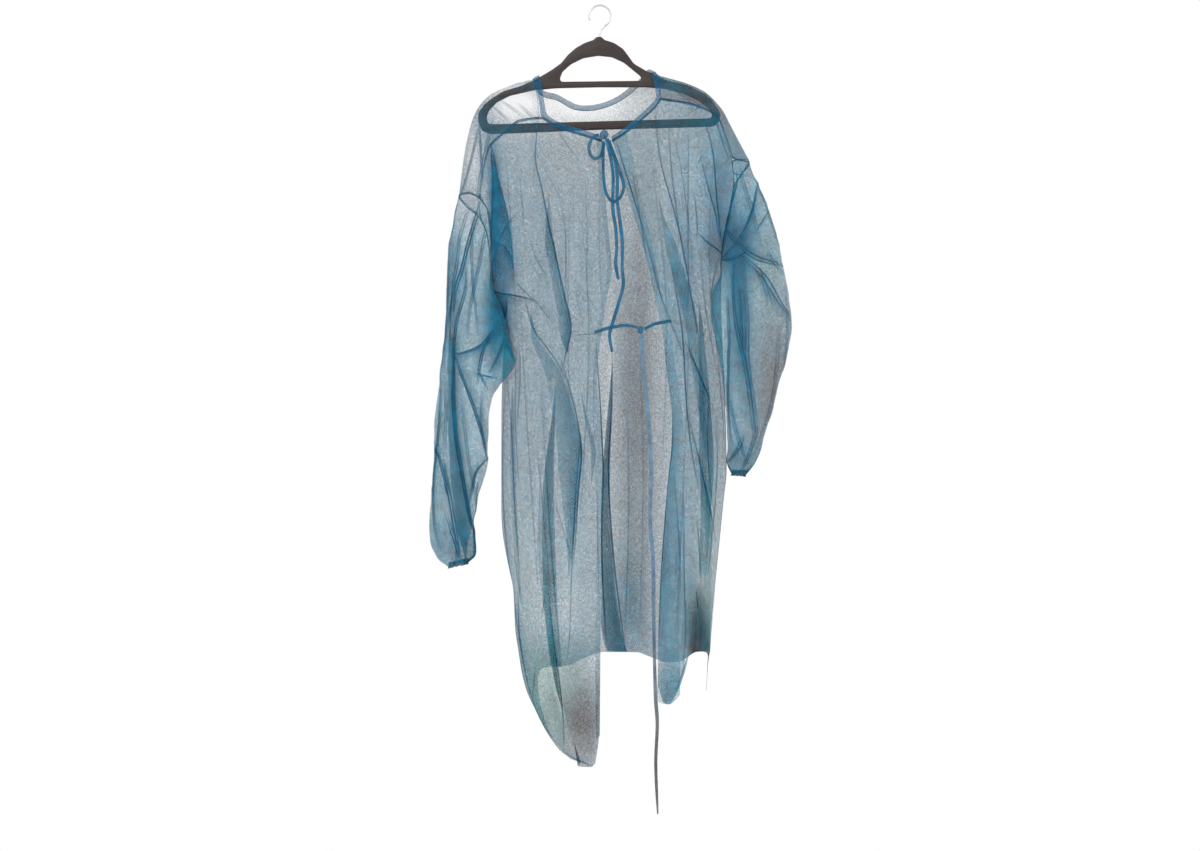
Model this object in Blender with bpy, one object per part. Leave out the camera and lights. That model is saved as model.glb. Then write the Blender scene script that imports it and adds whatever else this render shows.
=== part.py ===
# Disposable isolation gown on a clothes hanger. Origin: inside top of the hanger hook. Metres, +Z up.
# The camera side (-Y) is the gown's back, which opens down the middle and ties. +Y is its front.
import math

import bmesh
import bpy
import numpy as np
from mathutils.geometry import tessellate_polygon

# Sizes in millimetres, as all the tables below
WALL = 1.2
SEAM_GAP = 0.4
FOLD_LIFT = 5.0
BINDING_WALL = 2.0
CUFF_TALL = 11.0
TIE_WIDE = 6.0
TIE_THICK = 2.0
TAIL_WIDE = 6.5
HANGER_THICK = 11.0
HOOK_WIRE = 4.0
HOOK_INSIDE = 18.0
ROWS_BACK = 17
ROWS_FRONT = 16
SLEEVE_COLUMNS = 26
REFERENCE_HEIGHT = -330.0

# Edges of the panels: height, x, y
LEFT_NEAR_EDGE = [
    (-357.8, -218.8, -30),
    (-376.2, -204.1, -32),
    (-396.5, -199.5, -30),
    (-457.1, -198.6, -17),
    (-521.5, -198.6, -0.9),
    (-558.3, -183.9, -0.9),
    (-613.5, -176.5, -0.9),
    (-672.3, -179.3, -0.9),
    (-779, -181.1, -0.9),
    (-926.1, -181.1, -0.9),
    (-962.9, -179.3, -0.9),
    (-999.6, -173.8, -0.9),
    (-1036.4, -166.4, -0.9),
    (-1073.2, -159.1, -0.9),
    (-1146.8, -155.4, -0.9),
    (-1183.5, -149.9, -0.9),
    (-1220.3, -144.4, -0.9),
    (-1257.1, -135.2, -0.9),
    (-1293.9, -118.6, -0.9),
    (-1330.7, -100.2, -0.9),
    (-1367.4, -74.5, -0.9),
    (-1395, -51.5, -0.9),
]
RIGHT_NEAR_EDGE = [
    (-284.3, 240.9, -30),
    (-319.2, 244.6, -32),
    (-365.2, 241.8, -28),
    (-420.4, 232.6, -16),
    (-470, 224.4, -0.9),
    (-539.9, 222.5, -0.9),
    (-723.8, 229.9, -0.9),
    (-852.5, 232.6, -0.9),
    (-907.7, 227.1, -0.9),
    (-962.9, 221.6, -0.9),
    (-1036.4, 214.2, -0.9),
    (-1110, 206.9, -0.9),
    (-1183.5, 199.5, -0.9),
    (-1275.5, 194.9, -0.9),
]
LEFT_FAR_EDGE = [
    (-385.4, -220.7, 32),
    (-420.4, -206, 30),
    (-470, -200.5, 18),
    (-521.5, -198.6, 0.9),
    (-558.3, -183.9, 0.9),
    (-613.5, -176.5, 0.9),
    (-672.3, -179.3, 0.9),
    (-779, -181.1, 0.9),
    (-926.1, -181.1, 0.9),
    (-962.9, -179.3, 0.9),
    (-999.6, -173.8, 0.9),
    (-1036.4, -166.4, 0.9),
    (-1073.2, -159.1, 0.9),
    (-1146.8, -155.4, 0.9),
    (-1183.5, -149.9, 0.9),
    (-1220.3, -144.4, 0.9),
    (-1257.1, -135.2, 0.9),
    (-1293.9, -118.6, 0.9),
    (-1330.7, -100.2, 0.9),
    (-1367.4, -74.5, 0.9),
    (-1395, -51.5, 0.9),
]
RIGHT_FAR_EDGE = [
    (-326.6, 248.3, 32),
    (-367, 241.8, 28),
    (-422.2, 232.6, 17),
    (-470, 224.4, 0.9),
    (-539.9, 222.5, 0.9),
    (-723.8, 229.9, 0.9),
    (-852.5, 232.6, 0.9),
    (-907.7, 227.1, 0.9),
    (-962.9, 221.6, 0.9),
    (-1036.4, 214.2, 0.9),
    (-1110, 206.9, 0.9),
    (-1183.5, 199.5, 0.9),
    (-1275.5, 194.9, 0.9),
]

# Free edges of the back opening: height, x, y
LEFT_OPENING = [
    (-245.7, 5.5, -31),
    (-356, 12.9, -36),
    (-484.7, 22.1, -42),
    (-539.9, 12, -43),
    (-595.1, 3.7, -44),
    (-650.2, -3.7, -45),
    (-687, -5.5, -46),
    (-760.6, 0, -48),
    (-852.5, 5.5, -50),
    (-1018, 2.8, -53),
    (-1211.1, 0, -56),
    (-1395, -1.8, -58),
]
RIGHT_OPENING = [
    (-245.7, 20.2, -31),
    (-282.4, 33.1, -33),
    (-346.8, 49.7, -36),
    (-402, 66.2, -39),
    (-466.3, 84.6, -42),
    (-539.9, 101.1, -45),
    (-595.1, 114, -46),
    (-650.2, 120.5, -47),
    (-705.4, 126.9, -48),
    (-760.6, 132.4, -49),
    (-797.4, 131.5, -50),
    (-870.9, 125.1, -52),
    (-944.5, 118.6, -53),
    (-1018, 113.1, -54),
    (-1128.4, 107.6, -56),
    (-1275.5, 104.8, -58),
]

# Depth of the front panel behind the hanger: height, y
FAR_DEPTH = [
    (-172.1, 26),
    (-356, 42),
    (-539.9, 50),
    (-723.8, 56),
    (-907.7, 62),
    (-1201.9, 70),
    (-1395, 66),
]

# Top edges of the back panels, shoulder seam then neck: share of the panel's width, x, y, height
LEFT_TOP = [
    (0, -218.8, -30, -357.8),
    (0.08, -213.3, -32, -319.2),
    (0.18, -202.3, -30, -264),
    (0.27, -174.7, -28, -236.5),
    (0.38, -147.1, -26, -214.8),
    (0.52, -108.5, -24, -208.9),
    (0.66, -73.6, -27, -227.3),
    (0.84, -27.6, -30, -241.6),
    (1, 3.7, -31, -251.2),
]
RIGHT_TOP = [
    (0, 240.9, -30, -284.3),
    (0.1, 228, -31, -242),
    (0.22, 213.3, -27, -205.2),
    (0.34, 191.3, -25, -192.3),
    (0.46, 165.5, -24, -183.1),
    (0.62, 112.2, -22, -173.9),
    (0.72, 103, -25, -186.8),
    (0.84, 75.4, -28, -212.6),
    (0.93, 46, -30, -236.5),
    (1, 22.1, -31, -251.2),
]

# Rows of the front panel where it goes over the hanger: share of the panel's width, x, y, height
NEAR_SEAM = [
    (0, -219.9, -30, -357.3),
    (0.02, -214.4, -32, -318.8),
    (0.05, -203.2, -30, -262.9),
    (0.09, -175.4, -28, -235.2),
    (0.135, -147.5, -26, -212),
    (0.19, -110.3, -24, -204.6),
    (0.21, -115.9, -14, -153.7),
    (0.225, -119.5, -9, -130.7),
    (0.24, -122.3, 0, -122.4),
    (0.255, -118.6, 9, -130.7),
    (0.27, -114, 16, -153.7),
    (0.295, -101.1, 21, -163.8),
    (0.333, -80.9, 24, -168.4),
    (0.4, -46, 27, -185.9),
    (0.453, -18.4, 28, -187.7),
    (0.505, 9.2, 27, -182.2),
    (0.558, 36.8, 25, -170.3),
    (0.617, 64.4, 20, -150),
    (0.65, 80.9, 15, -133.5),
    (0.665, 90.1, 9, -117.8),
    (0.68, 98.4, 0, -110.1),
    (0.695, 103.9, -9, -118.8),
    (0.71, 108.5, -15, -142.7),
    (0.735, 112.2, -21, -172.5),
    (0.786, 165.5, -24, -181.7),
    (0.85, 191.3, -25, -190.9),
    (0.905, 214.1, -27, -203.9),
    (0.95, 229.3, -31, -240.9),
    (1, 242.2, -30, -283.2),
]
NEAR_SIDE = [
    (0, -239.1, -18, -345),
    (0.02, -235.4, -20, -304.5),
    (0.05, -226.2, -20, -251.2),
    (0.09, -217, -16, -205.2),
    (0.135, -194.9, -13, -168.4),
    (0.19, -149, -11.5, -143.6),
    (0.21, -137.9, -9.5, -136.2),
    (0.225, -130.6, -4, -128.9),
    (0.24, -126.9, 3, -126.1),
    (0.255, -123.2, 11, -135.3),
    (0.27, -117.7, 18, -159.2),
    (0.295, -101.1, 22, -171.2),
    (0.333, -80.9, 25.5, -175.8),
    (0.4, -46, 28.5, -193.2),
    (0.453, -18.4, 29.5, -195.1),
    (0.505, 9.2, 28.5, -189.6),
    (0.558, 36.8, 26.5, -177.6),
    (0.617, 66.2, 22, -157.4),
    (0.65, 84.6, 17.5, -142.7),
    (0.665, 95.6, 12, -127),
    (0.68, 104.8, 4, -116),
    (0.695, 112.2, -6, -120.6),
    (0.71, 117.7, -10.5, -129.8),
    (0.735, 128.7, -11.5, -134.4),
    (0.786, 161.8, -11.5, -142.7),
    (0.85, 196.8, -13, -160.1),
    (0.905, 217, -17, -190.5),
    (0.95, 237.2, -21, -230.9),
    (1, 259.3, -19, -284.3),
]
RIDGE = [
    (0, -259.3, 0, -348.6),
    (0.02, -253.8, 0, -302.7),
    (0.05, -246.4, 0, -254.9),
    (0.09, -230.8, 0, -194.2),
    (0.135, -204.1, 0, -155.5),
    (0.19, -156.3, 0, -134.4),
    (0.21, -145.3, 0, -130.7),
    (0.225, -137, 3, -128.5),
    (0.24, -131.5, 8, -129.8),
    (0.255, -126.9, 14, -142.7),
    (0.27, -121.4, 20, -166.6),
    (0.295, -101.1, 23.5, -179.5),
    (0.333, -80.9, 27, -183.1),
    (0.4, -46, 29.8, -199.7),
    (0.453, -18.4, 30.5, -201.5),
    (0.505, 9.2, 29.5, -196),
    (0.558, 36.8, 28, -185),
    (0.617, 68, 24, -166.6),
    (0.65, 88.3, 20, -151.9),
    (0.665, 100.2, 14.5, -135.3),
    (0.68, 111.3, 8, -122.4),
    (0.695, 120.5, 3, -120.6),
    (0.71, 127.8, 0, -121.9),
    (0.735, 136.1, 0, -124.3),
    (0.786, 163.7, 0, -133.5),
    (0.85, 194.9, 0, -150.9),
    (0.905, 224.4, 0, -185),
    (0.95, 243.7, 0, -227.3),
    (1, 274.9, 0, -285.2),
]
FAR_SIDE = [
    (0, -244.6, 18, -365.2),
    (0.02, -242.7, 18, -332.1),
    (0.05, -237.2, 18, -289.8),
    (0.09, -222.5, 15, -227.3),
    (0.135, -200.5, 12.5, -183.1),
    (0.19, -158.2, 11.5, -146.3),
    (0.21, -147.1, 11.5, -144.5),
    (0.225, -137.9, 13, -146.3),
    (0.24, -132.4, 16, -153.7),
    (0.255, -127.8, 20, -164.7),
    (0.27, -121.4, 24.5, -181.3),
    (0.295, -101.1, 28, -191.4),
    (0.333, -80.9, 30, -194.2),
    (0.4, -46, 31.7, -210.7),
    (0.453, -18.4, 32.2, -212.6),
    (0.505, 9.2, 31.7, -208),
    (0.558, 36.8, 30.5, -197.8),
    (0.617, 68, 28, -183.1),
    (0.65, 90.1, 25, -170.3),
    (0.665, 103, 20.5, -155.5),
    (0.68, 114, 15.5, -142.7),
    (0.695, 123.2, 12.5, -137.2),
    (0.71, 130.6, 11.5, -136.2),
    (0.735, 137.9, 11.5, -137.2),
    (0.786, 163.7, 11.5, -146.3),
    (0.85, 194.9, 12.5, -166.6),
    (0.905, 222.5, 15, -208.9),
    (0.95, 241.8, 17, -256.7),
    (1, 263, 18, -304.5),
]
FAR_TOP = [
    (0, -220.7, 32, -385.4),
    (0.02, -223.4, 33, -356),
    (0.05, -221.6, 34, -324.7),
    (0.09, -209.6, 34, -282.4),
    (0.135, -187.6, 33, -245.7),
    (0.19, -156.3, 31, -216.2),
    (0.21, -147.1, 31, -212.6),
    (0.225, -137.9, 31, -209.8),
    (0.24, -130.6, 31, -208.9),
    (0.255, -123.2, 31.5, -208.9),
    (0.27, -115.9, 32, -209.8),
    (0.295, -101.1, 32.5, -210.7),
    (0.333, -80.9, 33, -212.6),
    (0.4, -46, 34, -227.3),
    (0.453, -18.4, 34, -229.1),
    (0.505, 9.2, 34, -225.4),
    (0.558, 36.8, 33, -218.1),
    (0.617, 68, 33, -208.9),
    (0.65, 90.1, 32, -201.5),
    (0.665, 103, 31.5, -198.8),
    (0.68, 114, 31, -197.8),
    (0.695, 123.2, 31, -198.8),
    (0.71, 130.6, 31, -199.7),
    (0.735, 137.9, 31, -201.5),
    (0.786, 163.7, 32, -208.9),
    (0.85, 194.9, 33, -225.4),
    (0.905, 218.8, 34, -249.3),
    (0.95, 237.2, 34, -282.4),
    (1, 248.3, 32, -326.6),
]

# Hems: share of the panel's width, height
LEFT_HEM = [
    (0, -1367.4),
    (0.2, -1382.2),
    (0.4, -1394.1),
    (0.5, -1391.4),
    (0.6, -1384),
    (0.7, -1374.8),
    (0.82, -1361.9),
    (0.92, -1347.2),
    (1, -1330.7),
]
RIGHT_HEM = [
    (0, -1253.4),
    (0.06, -1242.4),
    (0.12, -1201.9),
    (0.18, -1179.9),
    (0.3, -1183.5),
    (0.42, -1176.2),
    (0.55, -1150.4),
    (0.68, -1121),
    (0.8, -1135.7),
    (0.84, -1176.2),
    (0.86, -1220.3),
    (0.89, -1257.1),
    (0.93, -1275.5),
    (0.96, -1277.3),
    (1, -1266.3),
]
FAR_HEM = [
    (0, -1367.4),
    (0.07, -1358.3),
    (0.13, -1334.3),
    (0.17, -1304.9),
    (0.21, -1257.1),
    (0.25, -1231.4),
    (0.32, -1218.5),
    (0.4, -1207.5),
    (0.47, -1198.3),
    (0.53, -1192.7),
    (0.6, -1201.9),
    (0.68, -1211.1),
    (0.78, -1209.3),
    (0.88, -1190.9),
    (0.95, -1189.1),
    (1, -1194.6),
]

# Lapped folds: height, x of the fold's edge, overlap, how far it is closed from 0 to 1
LAP_A = [
]
LAP_B = [
    (-411.2, -132.4, 14.7, 0.0),
    (-521.5, -130.6, 14.7, 0.25),
    (-604.3, -115.9, 22.1, 0.7),
    (-672.3, -69.9, 33.1, 1.0),
    (-751.4, -46, 44.1, 1.0),
    (-824.9, -31.3, 47.8, 1.0),
    (-907.7, -40.5, 29.4, 1.0),
    (-990.5, -47.8, 18.4, 0.8),
    (-1073.2, -57, 12.9, 0.4),
    (-1165.2, -58.8, 11, 0.1),
    (-1257.1, -51.5, 11, 0.0),
    (-1395, -36.8, 11, 0.0),
]
LAP_C = [
]
LAP_D = [
]
LAP_E = [
    (-245.7, 82.8, 11, 0.0),
    (-319.2, 93.8, 14.7, 0.25),
    (-383.6, 106.7, 16.6, 0.6),
    (-447.9, 119.5, 22.1, 1.0),
    (-521.5, 139.8, 23.9, 1.0),
    (-595.1, 156.3, 25.7, 1.0),
    (-668.6, 165.5, 25.7, 1.0),
    (-760.6, 178.4, 22.1, 0.9),
    (-852.5, 191.3, 16.6, 0.5),
    (-962.9, 193.1, 11, 0.1),
    (-1073.2, 187.6, 9.2, 0.0),
    (-1275.5, 183.9, 9.2, 0.0),
]
LAP_F = [
    (-503.1, 25.7, 9.2, 0.0),
    (-613.5, 23.9, 9.2, 0.3),
    (-723.8, 22.1, 12.9, 0.7),
    (-907.7, 18.4, 16.6, 1.0),
    (-1018, 23.9, 22.1, 1.0),
    (-1091.6, 29.4, 27.6, 1.0),
    (-1165.2, 40.5, 36.8, 1.0),
    (-1220.3, 55.2, 36.8, 1.0),
    (-1395, 73.6, 36.8, 1.0),
]
LAP_G = [
]
LAP_H = [
]
LAP_S = [
    (-521.5, -272.2, 9.2, 0.0),
    (-595.1, -270.3, 11, 0.4),
    (-687, -264.8, 14.7, 1.0),
    (-852.5, -251.9, 20.2, 1.0),
    (-972.1, -242.7, 20.2, 1.0),
    (-1003.3, -246.4, 14.7, 0.5),
    (-1045.6, -250.1, 11, 0.2),
]

# Free edges turned back under the panel: height, length turned
TURN_L = [
]
TURN_R = [
    (-245.7, 12.9),
    (-539.9, 14.7),
    (-687, 16.6),
    (-797.4, 22.1),
    (-907.7, 33.1),
    (-1091.6, 38.6),
    (-1275.5, 46),
]

# Flutes of each panel: x at the top, x at the hem, half width, height of the crest at the top, at the hem
LEFT_FLUTES = [
    (-150, -122, 22, 2, 9),
    (-95, -88, 16, -2, -7),
    (-52, -48, 18, 1, 8),
    (-20, -18, 12, -1, -5),
]
RIGHT_FLUTES = [
    (210, 180, 16, -1, -6),
    (170, 150, 18, 2, 8),
    (110, 128, 14, -1, -6),
]
FAR_FLUTES = [
    (-205, -140, 22, -3, -15),
    (-170, -105, 24, 3, 15),
    (-110, -52, 22, -2, -14),
    (-60, -22, 22, 2, 12),
    (60, 62, 22, -2, -14),
    (110, 100, 20, 2, 14),
    (165, 135, 18, -2, -13),
    (205, 168, 18, 3, 12),
]

# Sleeves: height outside, height inside, x outside, x inside, y outside, y inside, depth near, depth far
LEFT_SLEEVE = [
    (-387.3, -543.6, -266.1, -196.8, 2, -8, 36, 31),
    (-431.4, -574.8, -277.1, -191.3, 0, -17, 36, 29),
    (-488.4, -617.1, -280.8, -180.2, -2, -25, 33, 27),
    (-558.3, -661.3, -280.8, -163.7, -6, -31, 30, 24),
    (-622.7, -698, -285.4, -189.4, -8, -29, 31, 27),
    (-696.2, -733, -295.5, -201.4, -10, -22, 33, 30),
    (-769.8, -779, -303.8, -205, -10, -20, 34, 32),
    (-837.8, -839.7, -305.6, -206, -10, -18, 34, 33),
    (-907.7, -907.7, -310.2, -222.5, -10, -16, 33, 33),
    (-962.9, -957.3, -313.9, -234.5, -12, -16, 31, 31),
    (-996, -986.8, -309, -229.9, -13, -15, 27, 27),
    (-1014.4, -1001.5, -294.2, -229.9, -14, -15, 20, 20),
    (-1023.6, -1007.9, -282.3, -229.9, -15, -15, 14.5, 14.5),
]
RIGHT_SLEEVE = [
    (-326.6, -493.9, 290.6, 228.6, 0, -12, 36, 31),
    (-374.4, -523.3, 309, 217, -2, -29, 36, 29),
    (-429.6, -558.3, 325.5, 208.7, -4, -36, 38, 27),
    (-488.4, -595.1, 338.4, 208.7, -6, -41, 40, 28),
    (-539.9, -631.8, 349.4, 213.3, -8, -43, 40, 30),
    (-587.7, -664.9, 353.6, 219.8, -10, -43, 39, 32),
    (-641, -701.7, 343.9, 226.2, -12, -41, 38, 32),
    (-696.2, -738.5, 329.7, 230.8, -14, -39, 36, 30),
    (-751.4, -775.3, 313.5, 233.6, -16, -37, 32, 28),
    (-801, -808.4, 297.9, 234.5, -18, -34, 26, 24),
    (-836, -834.1, 283.2, 235.4, -20, -30, 19, 19),
    (-852.5, -847, 272.2, 236.3, -22, -28, 14, 14),
]

# Armholes from the underarm up the near side and down the far side: share of the way round, x, y, height
LEFT_ARMHOLE = [
    (0.0, -200.6, -1, -525.2),
    (0.12, -200.6, -17.5, -460.8),
    (0.24, -201.4, -30.5, -399.2),
    (0.31, -206.3, -32, -377.7),
    (0.39, -219.9, -30, -358.6),
    (0.45, -239.1, -18, -346.8),
    (0.5, -260.4, 0, -350.5),
    (0.6, -246.4, 18, -367.9),
    (0.7, -222.9, 32, -388.7),
    (0.78, -208.9, 30, -424),
    (0.88, -203.4, 18, -473.7),
]
RIGHT_ARMHOLE = [
    (0.0, 226.7, -1.5, -475.5),
    (0.12, 233.7, -16.5, -424),
    (0.24, 242.2, -28.5, -367.9),
    (0.31, 245.3, -31.5, -322.5),
    (0.39, 241.8, -30, -286.5),
    (0.45, 259.7, -18, -286.5),
    (0.5, 275.9, 0, -289.1),
    (0.6, 263.3, 18, -306.9),
    (0.7, 249, 32, -329.1),
    (0.78, 242.6, 28.5, -369.2),
    (0.88, 233.4, 17, -424.4),
]

# Neck binding from the left back edge round to the right one: x, y, height low, x, y, height high
NECK_LINE = [
    (3.7, -31, -251.2, 2.8, -31.5, -242.5),
    (-27.6, -30, -240.1, -24.8, -30.5, -232.4),
    (-73.6, -27, -225.4, -69.9, -27.5, -218.1),
    (-97.5, -25, -213.5, -92.9, -25.5, -205.7),
    (-106.7, -24, -203.4, -99.3, -24.5, -196),
    (-109.2, -20, -183.1, -101.5, -20, -180.4),
    (-114, -14, -153.7, -106.3, -14, -150.9),
    (-117.7, -9, -130.7, -111.1, -8.5, -125.8),
    (-120.5, 0, -121.7, -115.5, 0, -115.5),
    (-117, 9, -130.2, -110.7, 8.5, -125.6),
    (-112.5, 16, -153, -106.7, 15.5, -146.9),
    (-101.1, 21, -162.9, -97.5, 20.7, -155.2),
    (-80.9, 24, -167.7, -79.1, 23.7, -159.6),
    (-46, 27, -185.2, -44.1, 26.7, -177.1),
    (-18.4, 28, -187, -18.4, 27.7, -178.9),
    (9.2, 27, -181.5, 7.9, 26.7, -173.6),
    (36.8, 25, -169.5, 34, 24.7, -161.8),
    (63.6, 20, -149.5, 59.4, 19.7, -143),
    (80.2, 15, -132.7, 74.7, 14.7, -127),
    (89.4, 9, -117.3, 83.5, 8.7, -112.7),
    (97.3, 0, -109.4, 93.1, 0, -103.1),
    (102.2, -9, -118.4, 96.5, -9, -113.2),
    (107.2, -15, -142.3, 99.5, -15, -140.5),
    (110.7, -21, -168.4, 103, -21, -166.2),
    (109.1, -22.7, -175, 101.9, -22.9, -170.6),
    (102.2, -25, -186.1, 96, -25.4, -180.4),
    (74.8, -28, -212, 70.1, -28.4, -205.2),
    (45.4, -30, -235.7, 40.8, -30.4, -229.1),
    (22.8, -31, -250.8, 20.6, -31.5, -242.7),
]

# Ties: x, y, height along each strip
KNOT_C = [
    (7.4, -36.1, -240.1),
]
LOOP_SMALL = [
    (-2.1, -37.7, -240.1),
    (-11.8, -42, -244.9),
    (-19.3, -44, -258.5),
    (-19.3, -44.5, -273.2),
    (-11, -45, -284.3),
    (0, -44.5, -280.6),
    (5.5, -43.8, -267.7),
    (6.6, -42.8, -254.9),
]
LOOP_LONG = [
    (5.9, -45.9, -252.1),
    (5.9, -47, -282.4),
    (6.6, -48, -319.2),
    (11, -48.5, -346.8),
    (20.2, -49, -361.5),
    (29.4, -49, -362.4),
    (39.5, -48.5, -350.5),
    (43.2, -48, -332.1),
    (34.9, -47.5, -304.5),
    (23.9, -45.5, -273.2),
    (16.6, -42.5, -254.9),
    (13.2, -38.8, -248.6),
]
TAIL_A = [
    (10.1, -41.4, -242.5),
    (11.6, -48.7, -250.8),
    (15.6, -51, -265.9),
    (20.2, -52, -288),
    (23.9, -52.5, -319.2),
    (23, -53, -361.5),
    (23.9, -53, -383.6),
    (28.5, -53, -411.2),
    (30.3, -53, -447.9),
    (28.5, -53, -475.5),
    (33.1, -53, -505),
]
TAIL_B = [
    (16.2, -52.5, -252.1),
    (25.4, -54.5, -282.4),
    (31.3, -55.5, -319.2),
    (31.3, -56, -361.5),
    (36.8, -56, -403.8),
    (40.5, -56, -438.8),
    (40.5, -56, -484.7),
    (42.3, -55.5, -516),
    (33.1, -55, -550.9),
    (22.1, -55, -587.7),
    (17.5, -55, -607.9),
    (22.1, -55, -637.4),
]
WAIST_L = [
    (-10.1, -39.4, -601.5),
    (5.5, -39.6, -596),
    (14.7, -41.5, -593.2),
    (25.7, -46, -591.4),
    (46, -49, -588.6),
    (68.5, -50.9, -592.5),
]
WAIST_R = [
    (80.5, -50.8, -595.4),
    (93.8, -46, -588.6),
    (102.1, -39.5, -585),
    (112.2, -36.7, -583.1),
    (130.6, -31.5, -579.4),
]
WAIST_C = [
    (73.6, -51, -596.9),
]
WAIST_T = [
    (74.1, -51.5, -604.8),
    (80.9, -54, -687),
    (88.3, -56, -760.6),
    (92, -59, -852.5),
    (92, -62, -944.5),
    (95.6, -64, -1018),
    (99.3, -66, -1128.4),
    (99.7, -68, -1257.1),
    (101.1, -68, -1312.3),
    (103, -68, -1385.8),
    (104.8, -68, -1475.9),
]

# Hanger outline, its eye and its wide opening: x, height
HANGER_OUT = [
    (-6.8, -56.2),
    (3.1, -56.2),
    (7.4, -61.8),
    (25.7, -67.3),
    (42.3, -78.3),
    (53.3, -93),
    (62.5, -105.9),
    (84.6, -118.8),
    (125.1, -137.2),
    (161.8, -145.4),
    (189.4, -159.2),
    (206, -173),
    (217, -188.6),
    (222.5, -199.7),
    (217, -216.2),
    (206, -221.7),
    (0, -227.3),
    (-202.3, -235.5),
    (-217, -229.1),
    (-224.4, -212.6),
    (-223.8, -196),
    (-213.3, -181.3),
    (-198.6, -169.3),
    (-178.4, -156.5),
    (-147.1, -147.3),
    (-117.7, -134.4),
    (-88.3, -116.9),
    (-71.7, -105),
    (-58.8, -89.3),
    (-44.1, -76.5),
    (-27.6, -67.3),
    (-11, -61.8),
]
HANGER_EYE = [
    (-73.6, -133.5),
    (-69, -120.6),
    (-53.3, -106.8),
    (-31.3, -95.8),
    (-3.7, -91.2),
    (22.1, -93.9),
    (44.1, -104.1),
    (60.7, -117.8),
    (75.4, -129.8),
    (75.4, -137.2),
    (-71.7, -139),
]
HANGER_MOUTH = [
    (-204.1, -217.2),
    (-208.7, -205.2),
    (-204.1, -192.3),
    (-189.4, -176.7),
    (-165.5, -164.7),
    (-121.4, -154.6),
    (-80.9, -150.9),
    (0, -149.1),
    (84.6, -149.1),
    (117.7, -151.9),
    (154.5, -161.1),
    (182.1, -174.9),
    (200.5, -188.6),
    (206.9, -199.7),
    (204.1, -206.1),
    (0, -211.6),
]

# Name, colour, roughness and metallic of each material
MATERIALS = {
    "gown_fabric": ((0.30, 0.47, 0.55, 1.0), 0.75, 0.0),
    "cuff_elastic": ((0.34, 0.38, 0.38, 1.0), 0.85, 0.0),
    "tie_fabric": ((0.16, 0.38, 0.52, 1.0), 0.75, 0.0),
    "hanger_plastic": ((0.045, 0.035, 0.032, 1.0), 0.4, 0.0),
    "hook_metal": ((0.62, 0.62, 0.62, 1.0), 0.25, 1.0),
}


# Reading the tables

def curve_at(keys, values, at):
    """Smooth curve through the table's points that never overshoots them."""
    k = np.asarray(keys, float)
    v = np.asarray(values, float)
    if k[0] > k[-1]:
        k, v = k[::-1], v[::-1]
    step = np.diff(k)
    slope = np.diff(v) / step
    tangent = np.zeros(len(k))
    tangent[0], tangent[-1] = slope[0], slope[-1]
    for i in range(1, len(k) - 1):
        if slope[i - 1] * slope[i] > 0:
            a, b = 2 * step[i] + step[i - 1], step[i] + 2 * step[i - 1]
            tangent[i] = (a + b) / (a / slope[i - 1] + b / slope[i])
    x = np.clip(np.asarray(at, float), k[0], k[-1])
    i = np.clip(np.searchsorted(k, x, side="right") - 1, 0, len(k) - 2)
    t = (x - k[i]) / step[i]
    return (v[i] * (1 + 2 * t) * (1 - t) ** 2 + tangent[i] * step[i] * t * (1 - t) ** 2
            + v[i + 1] * t * t * (3 - 2 * t) - tangent[i + 1] * step[i] * t * t * (1 - t))


def columns_at(table, at):
    """Every later column of a table, read where its first column is `at`."""
    t = np.asarray(table, float)
    return np.stack([curve_at(t[:, 0], t[:, c], at) for c in range(1, t.shape[1])], axis=-1)


# Sections of the panels

def flute_height(x, z, flutes, top, bottom):
    """How far the flutes stand out at x, growing from the top down to the hem."""
    share = min(max((top - z) / (top - bottom), 0.0), 1.0)
    out = np.zeros_like(x)
    for x_top, x_hem, half, crest_top, crest_hem in flutes:
        centre = x_top + (x_hem - x_top) * share
        crest = crest_top + (crest_hem - crest_top) * share ** 0.8
        out += crest * np.exp(-((x - centre) / half) ** 2)
    return out


def back_outline(z, edge, opening, flutes, top, bottom):
    """Near panel at height z, from its side seam to its free edge."""
    (xs, ys), (xo, yo) = columns_at(edge, z), columns_at(opening, z)
    s = np.linspace(0, 1, 90) ** 1.5
    x = xs + (xo - xs) * s
    y = ys + (yo - ys) * s ** 0.55
    fade = np.clip(np.minimum(s / 0.15, (1 - s) / 0.12), 0, 1)
    return np.stack([x, y - flute_height(x, z, flutes, top, bottom) * fade], axis=1)


def front_outline(z, top, bottom):
    """Far panel at height z, from the left side seam to the right one."""
    (xl, yl), (xr, yr) = columns_at(LEFT_FAR_EDGE, z), columns_at(RIGHT_FAR_EDGE, z)
    depth = float(columns_at(FAR_DEPTH, z)[0])
    s = 0.5 - 0.5 * np.cos(np.linspace(0, math.pi, 150))
    x = xl + (xr - xl) * s
    side = yl + (yr - yl) * s
    bow = (4 * s * (1 - s)) ** 0.42
    y = side + (depth - side) * bow
    fade = np.clip(np.minimum(s, 1 - s) / 0.1, 0, 1)
    return np.stack([x, y + flute_height(x, z, FAR_FLUTES, top, bottom) * fade], axis=1)


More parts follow.
